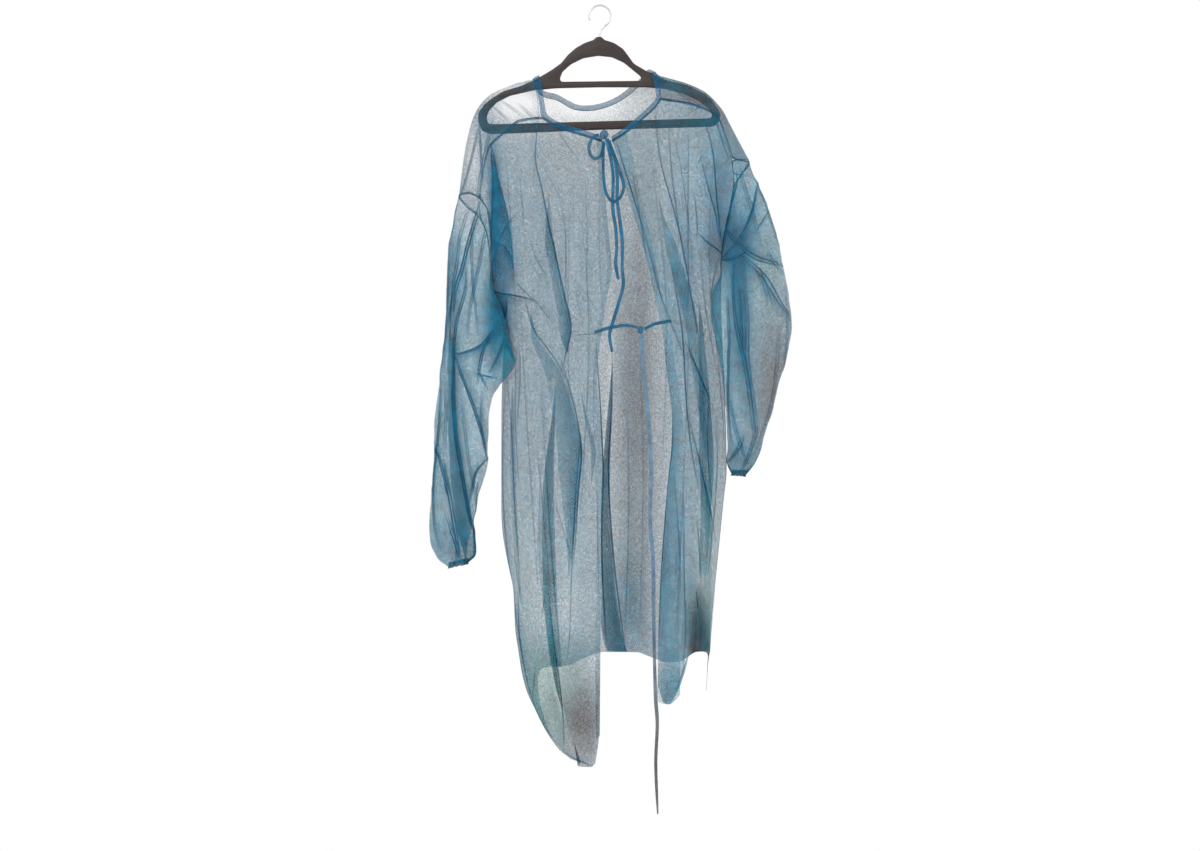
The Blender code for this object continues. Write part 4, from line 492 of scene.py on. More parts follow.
CREASES_LEFT_SLEEVE = [
    (4, 4, 0.9, 0.5, 11, -219, -358, -230, -396, -246, -450, -252, -485, -265, -520, -268, -555),
    (3, 2.5, 0.5, 0.25, -15, -208, -396, -219, -466, -239, -555, -243, -602),
    (4, 2.5, 0.4, 0.3, 15, -278, -431, -276, -481, -278, -555, -280, -599, -292, -681),
    (3, 3, 0.7, 0.3, -11, -246, -485, -245, -529, -265, -577, -267, -637),
    (4, 4, 0.8, 0.5, 20, -267, -637, -252, -687, -246, -696, -224, -761, -208, -832),
    (4, 4, 0.95, 0.5, 11, -268, -613, -268, -687, -268, -770, -256, -840, -243, -928, -230, -989, -232,
      -1011), (3, 3, 0.7, 0.3, -9, -287, -840, -274, -902, -270, -941, -259, -989, -263, -1016),
    (3, 3, 0.7, 0.2, 11, -303, -805, -287, -858, -276, -902),
    (3, 2, 0.6, 0.2, -9, -219, -678, -208, -681, -195, -683),
    (3, 2, 0.5, 0.1, 7, -221, -674, -215, -687, -208, -700),
    (4, 4, 0.7, 0.4, -17, -193, -599, -217, -630, -223, -687),
    (4, 4, 0.8, 0.5, 17, -186, -580, -210, -623, -239, -636, -267, -641),
    (4, 3, 0.6, 0.4, -13, -208, -832, -224, -849, -232, -865, -239, -908),
    (3, 2.5, 0.55, 0.2, 11, -257, -430, -263, -485, -274, -540, -276, -595),
    (3, 2, 0.4, 0.15, 9, -232, -384, -239, -466, -228, -558, -224, -595),
    (3, 2, 0.35, 0.15, -11, -239, -365, -256, -420, -267, -470),
    (4, 3, 0.55, 0.3, 13, -175, -595, -178, -623, -189, -650, -204, -676),
    (3, 2.5, 0.6, 0.3, 9, -292, -687, -294, -779, -305, -853, -307, -944, -294, -996),
    (4, 2.5, 0.35, 0.2, 13, -217, -715, -221, -779, -213, -816),
    (3, 2, 0.35, 0.15, 9, -254, -724, -246, -797, -239, -853, -228, -908),
    (3, 2, 0.45, 0.2, -9, -281, -687, -283, -761, -285, -816),
    (3, 2, 0.4, 0.15, 9, -224, -871, -228, -926, -235, -981),
    (3, 2, 0.6, 0.2, 7, -278, -946, -268, -976, -261, -994, -257, -1018),
]
CREASES_RIGHT_SLEEVE = [
    (4, 3, 0.8, 0.5, -17, 228, -459, 245, -442, 257, -424, 276, -393, 289, -327),
    (3, 3, 0.85, 0.4, 13, 223, -466, 239, -468, 254, -463, 267, -453),
    (3, 2, 0.6, 0.2, 11, 210, -389, 224, -406, 239, -419, 250, -437),
    (4, 4, 0.6, 0.45, 18, 257, -441, 280, -463, 302, -470, 331, -477),
    (4, 4, 0.6, 0.5, -22, 263, -463, 280, -477, 302, -498, 320, -533, 349, -573),
    (3, 2, 0.4, 0.1, 9, 307, -380, 296, -398, 285, -415),
    (4, 3, 0.75, 0.4, 15, 250, -314, 252, -327, 241, -362, 234, -396),
    (3, 2, 0.5, 0.15, 9, 235, -306, 252, -314, 265, -312),
    (5, 4, 0.35, 0.5, -33, 263, -466, 265, -520, 272, -580, 267, -643, 280, -724, 287, -779),
    (4, 3, 0.6, 0.35, 15, 245, -470, 241, -522, 248, -595, 267, -659, 278, -748, 283, -799),
    (3, 2.5, 0.6, 0.3, 9, 232, -540, 237, -613, 234, -652, 235, -705, 237, -748, 241, -797),
    (3, -2, 0, 0, 7, 302, -580, 285, -608, 280, -634), (3, -2, 0, 0, 7, 313, -613, 300, -637, 285, -659),
    (3, -2, 0, 0, 7, 298, -696, 287, -715, 276, -733), (5, 3, 0.3, 0.15, 18, 327, -595, 322, -705, 285, -816),
    (3, 2, 0.6, 0.2, 9, 261, -792, 254, -816, 234, -838),
    (4, 2.5, 0.3, 0.2, -17, 248, -264, 261, -319, 280, -374, 294, -439),
    (4, 2, 0.35, 0.1, 13, 276, -292, 303, -365, 327, -439),
    (3, 2, 0.4, 0.15, -11, 289, -485, 302, -512, 309, -540),
    (4, 2.5, 0.4, 0.2, 13, 239, -724, 248, -779, 268, -838),
    (3, 2, 0.35, 0.1, -11, 305, -448, 316, -470, 333, -488),
    (3, 2, 0.5, 0.2, 9, 287, -770, 276, -816, 261, -849),
    (4, 2.5, 0.25, 0.15, 17, 340, -522, 346, -595, 335, -687),
    (3, 2, 0.4, 0.2, 11, 252, -512, 259, -577, 257, -650),
]

# Where the colour looks deeper, greener or greyer: x, height, reach across, reach up, deep, green, grey, dense.
# The deep spots under the arms are painted shade.
SPOTS_LEFT = [
    (-187.6, -383.6, 16.6, 62.5, 0.7, 0, 0, 0.05), (-180.2, -470, 22.1, 73.6, 0.9, 0, 0, 0.16),
    (-178.4, -585.9, 16.6, 69.9, 1, 0, 0, 0.34), (-194.9, -402, 9.2, 128.7, 0.9, 0, 0, 0.16),
    (-101.1, -1316, 47.8, 110.3, 0.1, 0.9, 0, 0), (-29.4, -1321.5, 44.1, 103, 0, 0, 1, 0.32),
    (-88.3, -1284.7, 95.6, 95.6, 0, 0.5, 0.1, 0.27), (-64.4, -1192.7, 73.6, 40.5, 0, 0.2, 0, 0.1),
    (-119.5, -1018, 73.6, 165.5, -0.1, 0.2, 0, -0.02), (-156.3, -1165.2, 33.1, 147.1, 0.1, 0.4, 0, 0.03),
    (-64.4, -852.5, 22.1, 165.5, 0.15, 0, 0, -0.02), (-55.2, -282.4, 73.6, 110.3, -0.25, 0, 0.5, -0.02),
    (-82.8, -613.5, 25.7, 62.5, 0.15, 0, 0, -0.02), (-101.1, -484.7, 18.4, 92, 0.15, 0, 0, 0.02),
]
SPOTS_RIGHT = [
    (228, -346.8, 36.8, 128.7, 0.85, 0, 0, 0.12), (220.7, -444.3, 40.5, 47.8, 0.8, 0, 0, 0.08),
    (194.9, -797.4, 33.1, 239.1, 0.2, 0.1, 0, -0.02), (139.8, -1091.6, 44.1, 165.5, 0.4, 0, 0, 0.05),
    (150.8, -512.3, 23.9, 165.5, 0.45, 0, 0, 0.03), (191.3, -723.8, 23.9, 165.5, 0.3, 0, 0, 0),
    (92, -300.8, 55.2, 110.3, -0.2, 0, 0.5, -0.02), (132.4, -1257.1, 47.8, 55.2, 0.1, 0.1, 0, 0.28),
    (217, -1045.6, 36.8, 165.5, -0.3, 0.9, 0, -0.07), (165.5, -1165.2, 22.1, 110.3, 0, 0.4, 0, 0.02),
    (182.1, -1132.1, 10.1, 66.2, -0.3, 0, 0, -0.6), (169.2, -1187.2, 11, 25.7, -0.3, 0, 0, -0.5),
    (198.6, -1211.1, 9.2, 62.5, 0, 0.2, 0.8, 0.6),
]
SPOTS_FRONT = [
    (22.1, -797.4, 551.7, 735.6, 0, 0, 0.18, 0), (66.2, -723.8, 40.5, 349.4, 0, 0, 0.5, 0.22),
    (-73.6, -1124.7, 55.2, 47.8, 0, 0, 0, -0.08), (-101.1, -1036.4, 110.3, 202.3, -0.2, 0.2, -0.2, -0.03),
    # The paler, thinner spots across the middle and the left shoulder at the top are painted light coming
    # through from behind.
    (55.2, -1113.7, 36.8, 110.3, 0.35, 0.1, -0.3, 0.16), (-36.8, -177.6, 114, 44.1, -0.9, 0, 0.4, -0.22),
    (-163.7, -179.5, 47.8, 47.8, -0.9, 0, 0.4, -0.2), (183.9, -186.8, 62.5, 47.8, -0.2, 0, 0.8, 0.05),
    (-233.6, -282.4, 23.9, 77.2, -0.4, 0, 0.3, -0.17), (182.1, -1165.2, 20.2, 77.2, -0.3, 0, 1.4, 0.7),
]
SPOTS_LEFT_SLEEVE = [
    (-268.5, -576.7, 16.6, 165.5, 0.45, 0, 0, 0.03), (-261.1, -852.5, 22.1, 165.5, 0.4, 0, 0, -0.01),
    (-261.1, -990.5, 47.8, 47.8, 0.4, 0, 0, 0.03), (-294.2, -907.7, 22.1, 128.7, 0.1, 0.1, 0, 0),
    (-185.7, -567.5, 22.1, 80.9, 1, 0, 0, 0.34), (-242.7, -300.8, 36.8, 110.3, -0.3, 0, 0.5, -0.08),
]
SPOTS_RIGHT_SLEEVE = [
    (239.1, -438.8, 44.1, 66.2, 0.9, 0, 0, 0.1), (253.8, -558.3, 22.1, 165.5, 0.45, 0, 0, 0.05),
    (320, -705.4, 47.8, 165.5, -0.1, 0, 0.9, 0.12), (253.8, -837.8, 36.8, 40.5, 0.5, 0, 0, 0.03),
    (309, -484.7, 25.7, 73.6, 0.1, 0.5, 0, 0),
]

# Colours of the cloth before its texture. Deep is also the painted shade under the arms and beside creases;
# the darkest colour is for seams and for the painted shade along crease lines.
DYE_AND_SHADING = {"plain": (0.018, 0.156, 0.242), "bright": (0.002, 0.208, 0.318), "deep_and_shade": (0.001, 0.108, 0.200),
       "green": (0.035, 0.215, 0.200), "grey": (0.073, 0.073, 0.081), "tie": (0.002, 0.110, 0.220),
       "seam_and_crease_shade": (0.001, 0.062, 0.125)}


# Reading the tables and lines

def unit(v):
    """Vectors brought to length 1."""
    return v / np.linalg.norm(v, axis=-1, keepdims=True)


def run_length(points):
    """Length along a line of points, 0 at its first point."""
    return np.concatenate([[0], np.cumsum(np.linalg.norm(np.diff(points, axis=0), axis=1))])


def read_line(line, length, at):
    """Point of a line at a length along it, or a row of points for a row of lengths."""
    return np.stack([np.interp(at, length, line[:, c]) for c in range(line.shape[1])], axis=-1)


def hermite(v0, v1, slope0, slope1, step, t):
    """Cubic from one value to the next with the given slopes at both."""
    return (v0 * (1 + 2 * t) * (1 - t) ** 2 + slope0 * step * t * (1 - t) ** 2
            + v1 * t * t * (3 - 2 * t) - slope1 * step * t * t * (1 - t))


def catmull(p0, p1, p2, p3, t):
    """Smooth curve from p1 to p2 that comes from p0 and goes on to p3."""
    return 0.5 * (2 * p1 + (p2 - p0) * t + (2 * p0 - 5 * p1 + 4 * p2 - p3) * t * t
                  + (3 * p1 - p0 - 3 * p2 + p3) * t ** 3)


def smooth_path(points, count):
    """Evenly spaced points of a smooth curve through the given ones."""
    p = np.array(points, float)
    length = run_length(p)
    out = []
    for a in np.linspace(0, length[-1], count):
        i = min(int(np.searchsorted(length, a, side="right")) - 1, len(p) - 2)
        t = (a - length[i]) / (length[i + 1] - length[i])
        out.append(catmull(p[max(i - 1, 0)], p[i], p[i + 1], p[min(i + 2, len(p) - 1)], t))
    return np.array(out)


def curve_at(keys, values, at):
    """Smooth curve through the table's points that never overshoots them."""
    k, v = np.asarray(keys, float), np.asarray(values, float)
    if k[0] > k[-1]:
        k, v = k[::-1], v[::-1]
    step = np.diff(k)
    slope = np.diff(v) / step
    tangent = np.zeros(len(k))
    tangent[0], tangent[-1] = slope[0], slope[-1]
    for i in range(1, len(k) - 1):
        if slope[i - 1] * slope[i] > 0:
            a, b = 2 * step[i] + step[i - 1], step[i] + 2 * step[i - 1]
            tangent[i] = (a + b) / (a / slope[i - 1] + b / slope[i])
    x = np.clip(np.asarray(at, float), k[0], k[-1])
    i = np.clip(np.searchsorted(k, x, side="right") - 1, 0, len(k) - 2)
    return hermite(v[i], v[i + 1], tangent[i], tangent[i + 1], step[i], (x - k[i]) / step[i])


def columns_at(table, at):
    """Every later column of a table, read where its first column is `at`."""
    t = np.asarray(table, float)
    return np.stack([curve_at(t[:, 0], t[:, c], at) for c in range(1, t.shape[1])], axis=-1)


def spline_weights(t):
    """Share of each of four neighbouring control points at t between the middle two."""
    return ((1 - t) ** 3 / 6, (3 * t ** 3 - 6 * t * t + 4) / 6,
            (-3 * t ** 3 + 3 * t * t + 3 * t + 1) / 6, t ** 3 / 6)


def spline_matrix(count, per_span):
    """Weights that turn control points into points of a smooth curve that keeps both ends."""
    rows = []
    for i in range(count - 1):
        for k in range(per_span if i < count - 2 else per_span + 1):
            row = np.zeros(count)
            for j, weight in zip((i - 1, i, i + 1, i + 2), spline_weights(k / per_span)):
                if j < 0:
                    row[0] += 2 * weight
                    row[1] -= weight
                elif j > count - 1:
                    row[count - 1] += 2 * weight
                    row[count - 2] -= weight
                else:
                    row[j] += weight
            rows.append(row)
    return np.array(rows)


# Sections of the panels

def flute_height(x, z, flutes, top, bottom):
    """How far the flutes stand out at x, growing from the top down to the hem."""
    share = min(max((top - z) / (top - bottom), 0.0), 1.0)
    out = np.zeros_like(x)
    for x_top, x_hem, half, crest_top, crest_hem in flutes:
        centre = x_top + (x_hem - x_top) * share
        crest = crest_top + (crest_hem - crest_top) * share ** 0.8
        out += crest * np.exp(-((x - centre) / half) ** 2)
    return out


def back_outline(z, edge, opening, flutes, top, bottom):
    """Near panel at height z, from its side seam to its free edge."""
    (xs, ys), (xo, yo) = columns_at(edge, z), columns_at(opening, z)
    s = np.linspace(0, 1, NEAR_POINTS) ** 1.5
    x = xs + (xo - xs) * s
    y = ys + (yo - ys) * s ** 0.55
    fade = np.clip(np.minimum(s / 0.15, (1 - s) / 0.12), 0, 1)
    return np.stack([x, y - flute_height(x, z, flutes, top, bottom) * fade], axis=1)


def front_outline(z, top, bottom):
    """Far panel at height z, from the left side seam to the right one."""
    (xl, yl), (xr, yr) = columns_at(LEFT_FAR_EDGE, z), columns_at(RIGHT_FAR_EDGE, z)
    depth = float(columns_at(FAR_DEPTH, z)[0])
    s = 0.5 - 0.5 * np.cos(np.linspace(0, math.pi, FAR_POINTS))
    x = xl + (xr - xl) * s
    side = yl + (yr - yl) * s
    y = side + (depth - side) * (4 * s * (1 - s)) ** 0.42
    fade = np.clip(np.minimum(s, 1 - s) / 0.1, 0, 1)
    return np.stack([x, y + flute_height(x, z, FAR_FLUTES, top, bottom) * fade], axis=1)


def outline_reader(line, outward):
    """Point and outward direction at a length along an outline, and the length where it reaches an x."""
    length = run_length(line)
    along = unit(np.gradient(line, length, axis=0))
    normal = outward * np.stack([along[:, 1], -along[:, 0]], axis=1)
    rising = -1 if line[0, 0] > line[-1, 0] else 1

    def point(a, lift):
        at = min(max(a, 0.0), length[-1])
        return read_line(line, length, at) + read_line(normal, length, at) * lift

    def reach(x):
        return float(np.interp(rising * x, rising * line[:, 0], length))

    return point, reach, length[-1]


# One lapped fold from its start to its end. Closed: share of the overlap, lifts along, lifts off the outline.
# Half closed, where it only stands up: lifts along, lifts off. Last, how dense the cloth looks there.
LAP_STEPS = [
    (-1, -3.4, 0, -5, 0, 0), (-1, -1.4, 2, -3, 1.3, 0), (0, -1, 2, -1.3, 2, 0.5), (0, 0, 2, -0.4, 1.95, 1),
    (0, 0, 1, -0.1, 1.5, 0.5), (0, -1, 1, 0, 1.15, 0), (-1, 1, 1, 0, 0.85, 0.4), (-1, 0, 1, 0.1, 0.5, 0.8),
    (-1, 0, 0, 0.4, 0.08, 0.4), (-1, 1, 0, 1.2, 0, 0), (0, 1, 0, 2.2, 0, 0),
]


def lap_places(at, overlap, closed, room, turned=1):
    """Places of one lapped fold, each with its length along the outline, lift off it and density."""
    out = []
    for i, (share, along, off, half_along, half_off, mark) in enumerate(LAP_STEPS):
        flat = room * (i / (len(LAP_STEPS) - 1) - LAP_START)
        shut, half = share * overlap + along * FOLD_LIFT, half_along * FOLD_LIFT
        if closed < HALF_CLOSED:
            t = closed / HALF_CLOSED
            out.append((flat + (half - flat) * t, half_off * FOLD_LIFT * t, closed * mark))
        else:
            t = (closed - HALF_CLOSED) / (1 - HALF_CLOSED)
            out.append((half + (shut - half) * t, (half_off + (off - half_off) * t) * FOLD_LIFT, closed * mark))
    if turned < 0:
        out = [(-a, up, mark) for a, up, mark in reversed(out)]
    return [(at + a, up, mark) for a, up, mark in out]


def plain_places(start, end, count, endpoint=False):
    """Evenly spaced places on the outline itself."""
    return [(a, 0.0, 0.0) for a in np.linspace(start, end, count, endpoint=endpoint)]


def after_lap(lap):
    """Length along the outline half a step behind a lapped fold."""
    return lap[-1][0] + 0.5 * (lap[-1][0] - lap[-2][0])


def section_controls(z, outline, outward, laps, between, turn):
    """Control points of a panel's section with their density, the same count at every height."""
    point, reach, total = outline_reader(outline, outward)
    places, start = [], 0.0
    for table, count in zip(laps, between):
        x, overlap, closed = columns_at(table, z)
        lap = lap_places(reach(x), overlap, closed, min(LAP_ROOM, 0.08 * total))
        places += plain_places(start, lap[0][0], count) + lap
        start = after_lap(lap)
    places += plain_places(start, total, between[-1], True)
    if turn is not None:
        length = float(columns_at(turn, z)[0])
        places += [(total - back, -FOLD_LIFT, 0.5) for back in (0.0, 0.5 * FOLD_LIFT, 0.5 * length, length)]
    return np.array([(*point(a, up), mark) for a, up, mark in places])


# Panels as grids of x, y, height and density, row by row from the top to the hem

def read_levels(levels, stack, z):
    """Section point of each column at its own height, between the levels worked out."""
    f = np.interp(-z, -levels, np.arange(len(levels)))
    i = np.clip(f.astype(int), 0, len(levels) - 2)
    t = (f - i)[:, None]
    c = np.arange(stack.shape[1])
    return stack[i, c] * (1 - t) + stack[i + 1, c] * t


def panel_sections(z_high, z_low, outline, outward, laps, between, turn, per_span, turned=0):
    """Heights, the panel's section at each, and each column's share of the width; a turned edge runs back."""
    levels = np.linspace(z_high, z_low, LEVELS)
    stack = np.array([section_controls(z, outline(z), outward, laps, between, turn) for z in levels])
    stack = np.einsum("ij,ljk->lik", spline_matrix(stack.shape[1], per_span), stack)
    length = run_length(read_levels(levels, stack, np.full(stack.shape[1], REFERENCE_HEIGHT))[:, :2])
    return levels, stack, 1 - np.abs(1 - length / length[len(length) - 1 - turned])


def hang(first, hem, levels, stack, rows):
    """Rows from a given first row down to the hem, easing from it into the sections."""
    z_top = first[:, 2]
    pull = first[:, :2] - read_levels(levels, stack, z_top)[:, :2]
    out = []
    for r in range(rows):
        v = (r / (rows - 1)) ** 1.35
        z = z_top + (hem - z_top) * v
        fade = max(0.0, 1 - v / EASED)
        fade = fade * fade * (3 - 2 * fade)
        at = read_levels(levels, stack, z)
        out.append(np.column_stack([at[:, :2] + pull * fade, z, at[:, 2] * (1 - fade)]))
    return np.array(out)


def back_panel(edge, opening, outward, flutes, laps, between, turn, top_row, hem, per_span):
    """Grid of one near panel from its top edge to its hem."""
    z_high, z_low = max(max(r[0] for r in edge), max(r[3] for r in top_row)), min(r[1] for r in hem) - 5
    turned = 4 * per_span
    levels, stack, share = panel_sections(
        z_high, z_low, lambda z: back_outline(z, edge, opening, flutes, z_high, z_low), outward, laps, between,
        turn, per_span, turned)
    first = columns_at(top_row, share)
    first[-turned:, 1] += FOLD_LIFT * np.minimum(np.arange(1, turned + 1) / per_span, 1.0)
    return hang(first, columns_at(hem, share)[:, 0], levels, stack, ROWS_BACK)


def front_panel(per_span):
    """Grid of the front panel from the near seam over the hanger to its hem."""
    z_high, z_low = FAR_TOP[0][2] + 200, min(r[1] for r in FAR_HEM) - 5
    levels, stack, share = panel_sections(z_high, z_low, lambda z: front_outline(z, z_high, z_low), -1,
                                          [LAP_G, LAP_F], (14, 8, 18), None, per_span)
    over = [columns_at([(s, *row) for s, row in zip(OVER_SHARES, table)], share)
            for table in (NEAR_SEAM, NEAR_SIDE, RIDGE, FAR_SIDE, FAR_TOP)]
    down = hang(over[-1], columns_at(FAR_HEM, share)[:, 0], levels, stack, ROWS_FRONT)
    over.append(down[6, :, :3])
    top = np.array([catmull(over[max(i - 1, 0)], over[i], over[i + 1], over[i + 2], k / OVER_ROWS)
                    for i in range(4) for k in range(OVER_ROWS)])
    return np.concatenate([np.concatenate([top, np.zeros(top.shape[:2] + (1,))], axis=2), down])


# Sleeves as rings of x, y, height and density

def sleeve_ring(row, angles):
    """One ring of a sleeve: angle 0 is the inside, a quarter turn is the near side."""
    z_out, z_in, x_out, x_in, y_out, y_in, near, far = row
    c, s = np.cos(angles), np.sin(angles)
    side = (1 + c) / 2
    depth = np.where(s > 0, near, far) * np.abs(s) ** 0.9
    return np.column_stack([x_out + (x_in - x_out) * side, y_out + (y_in - y_out) * side - np.sign(s) * depth,
                            z_out + (z_in - z_out) * side])


def closed_spline(points, per_span):
    """Smooth closed curve close through the points."""
    n = len(points)
    points = points + (4 * points - np.roll(points, 1, axis=0) * 2 - np.roll(points, -1, axis=0) * 2) / 12
    return np.array([sum(points[(i + j - 1) % n] * w for j, w in enumerate(spline_weights(k / per_span)))
                     for i in range(n) for k in range(per_span)])


def ring_controls(ring, heights, lap, columns):
    """Control points of a sleeve ring, with one lapped fold on its near side where lap is a table."""
    loop = np.vstack([ring, ring[:1]])
    length = run_length(loop)
    if lap is None:
        places = plain_places(0, length[-1], columns)
    else:
        half = len(ring) // 2
        x, overlap, closed = columns_at(lap, (heights[0] + heights[1]) / 2)
        at = float(np.interp(-x, -loop[:half + 1, 0], length[:half + 1]))
        fold = lap_places(at, overlap, closed, LAP_ROOM, -1)
        before = int(round(columns * 0.38))
        places = plain_places(0, fold[0][0], before) + fold
        places += plain_places(after_lap(fold), length[-1], columns - before)
    tangent = np.gradient(loop, length, axis=0)
    flat = np.column_stack([tangent[:, 1], -tangent[:, 0]])
    flat *= -1 / np.linalg.norm(flat, axis=1)[:, None]
    out = []
    for a, up, mark in places:
        p = read_line(loop, length, a)
        out.append([*(p[:2] + read_line(flat, length, a) * up), p[2], mark])
    return np.array(out)


def sleeve(table, armhole, lap, columns, per_span=4):
    """Grid of a sleeve from the armhole to the cuff, wrapped round."""
    fine = np.linspace(0, 2 * math.pi, RING_POINTS, endpoint=False)
    rings = [columns_at(armhole + [(1.0,) + tuple(armhole[0][1:])], fine / (2 * math.pi))]
    rings += [sleeve_ring(row, fine) for row in table]
    heights = [(armhole[4][3], armhole[0][3])] + [row[:2] for row in table]
    coarse = np.array([closed_spline(ring_controls(r, h, lap, columns), per_span)
                       for r, h in zip(rings, heights)])
    step = np.linalg.norm(np.diff(coarse[..., :3], axis=0), axis=2).mean(axis=1)
    key = np.concatenate([[0], np.cumsum(step)])
    slope = np.gradient(coarse, key, axis=0)
    out = []
    for a in np.linspace(0, key[-1], ROWS_SLEEVE):
        i = min(int(np.searchsorted(key, a, side="right")) - 1, len(key) - 2)
        h = key[i + 1] - key[i]
        out.append(hermite(coarse[i], coarse[i + 1], slope[i], slope[i + 1], h, (a - key[i]) / h))
    return np.array(out)


def push_edges(rows, top=0.0, start=0.0, end=0.0):
    """Draws a panel's edges in by a gap along its own cloth; less than 0 lets them out."""
    g = np.array(rows)
    for amount, edge, beside in ((top, g[0], g[1]), (start, g[:, 0], g[:, 1]), (end, g[:, -1], g[:, -2])):
        if amount:
            edge += unit(beside - edge) * amount
    return g


# Creases, crumples, dye and painted shade

def soft_noise(x, z, cell_x, cell_z, seed):
    """Smooth random height between -1 and 1 over cells of the given size."""
    table = np.random.default_rng(seed).uniform(-1, 1, (64, 64))
    u, v = x / cell_x, z / cell_z
    iu, iv = np.floor(u).astype(int), np.floor(v).astype(int)
    fu, fv = u - iu, v - iv
    fu, fv = fu * fu * (3 - 2 * fu), fv * fv * (3 - 2 * fv)
    low, high = (table[iu % 64, row % 64] * (1 - fu) + table[(iu + 1) % 64, row % 64] * fu
                 for row in (iv, iv + 1))
    return low * (1 - fv) + high * fv


def crease_path(row):
    """Points every few millimetres along a crease, rounded through the points of its row."""
    p = np.array(row[5:], float).reshape(-1, 2)
    p = np.vstack([2 * p[0] - p[1], p, 2 * p[-1] - p[-2]])
    out = []
    for i in range(1, len(p) - 2):
        count = max(2, int(np.linalg.norm(p[i + 1] - p[i]) / 3))
        out += [sum(p[i - 1 + j] * w for j, w in enumerate(spline_weights(k / count))) for k in range(count)]
    return np.array(out + [p[-2]])


def crease_field(x, z, table):
    """Height of soft ridges and troughs, and for three sets of creases the signed distance, painted dark line
    and painted shade.
    """
    height = np.zeros_like(x)
    gap, line, shade, owner = np.full(x.shape + (3,), NO_GAP), *(np.zeros(x.shape + (3,)) for _ in range(3))
    for row in table:
        half, lift, dark, soft, reach = row[:5]
        path = crease_path(row)
        limit = max(abs(reach), 3.5 * half, 10.0)
        (x_low, z_low), (x_high, z_high) = path.min(axis=0) - limit, path.max(axis=0) + limit
        near = (x > x_low) & (x < x_high) & (z > z_low) & (z < z_high)
        if not near.any():
            continue
        px, pz = x[near], z[near]
        at = ((px[:, None] - path[:, 0]) ** 2 + (pz[:, None] - path[:, 1]) ** 2).argmin(axis=1)
        along = unit(np.gradient(path, axis=0))
        ox, oz = px - path[at, 0], pz - path[at, 1]
        side = (oz * along[at, 0] - ox * along[at, 1]) * math.copysign(1, reach)
        far = np.hypot(ox, oz)
        taper = np.sin(math.pi * np.clip(0.04 + 0.92 * at / (len(path) - 1), 0, 1)) ** 0.6
        ridge = np.exp(-(far / half) ** 2) - 0.45 * np.exp(-((side - 2.0 * half) / (1.3 * half)) ** 2)
        height[near] += lift * taper * ridge * np.clip(2 - far / (2 * half), 0, 1)
        hold = taper * np.clip(1 - far / limit, 0, 1)
        k = int(np.argmin([np.minimum(hold, owner[near, c]).sum() for c in range(3)]))
        mine = np.zeros(x.shape, bool)
        mine[near] = hold > owner[near, k]
        take = mine[near]
        gap[mine, k], owner[mine, k] = side[take], hold[take]
        line[mine, k] = LINE_STRENGTH * dark * taper[take] * np.clip(2.2 - far[take] / 4.5, 0, 1)
        shade[mine, k] = soft * taper[take] * np.clip(1 - far[take] / abs(reach), 0, 1)
    return height, gap, line, shade


def crumple(x, z, seed):
    """Uneven soft crumples, longer down the cloth than across it, in millimetres."""
    return (2.0 * soft_noise(x, z, 24, 130, seed) + 1.2 * soft_noise(x + 0.4 * z, z - 0.3 * x, 16, 52, seed + 1)
            + 0.6 * soft_noise(x - 0.5 * z, z + 0.4 * x, 9, 26, seed + 2))


def edge_fade(shape, rows, columns):
    """One inside the cloth, falling to 0 at the first row and at both side edges."""
    r = np.arange(shape[0])[:, None] / rows
    c = np.minimum(np.arange(shape[1]), np.arange(shape[1])[::-1])[None, :] / columns
    return np.clip(np.minimum(r, c), 0, 1)


def seam_distance(g, last_too):
    """Distance along the cloth from the nearest sewn edge: first row, first column and maybe last column."""
    down, across = (np.linalg.norm(np.diff(g[..., :3], axis=way), axis=2) for way in (0, 1))
    zero_row, zero_column = np.zeros((1, g.shape[1])), np.zeros((g.shape[0], 1))
    out = [np.full(g.shape[:2], NO_SEAM), np.vstack([zero_row, np.cumsum(down, axis=0)]),
           np.hstack([zero_column, np.cumsum(across, axis=1)])]
    if last_too:
        out.append(np.hstack([zero_column, np.cumsum(across[:, ::-1], axis=1)])[:, ::-1])
    return np.minimum.reduce(out)


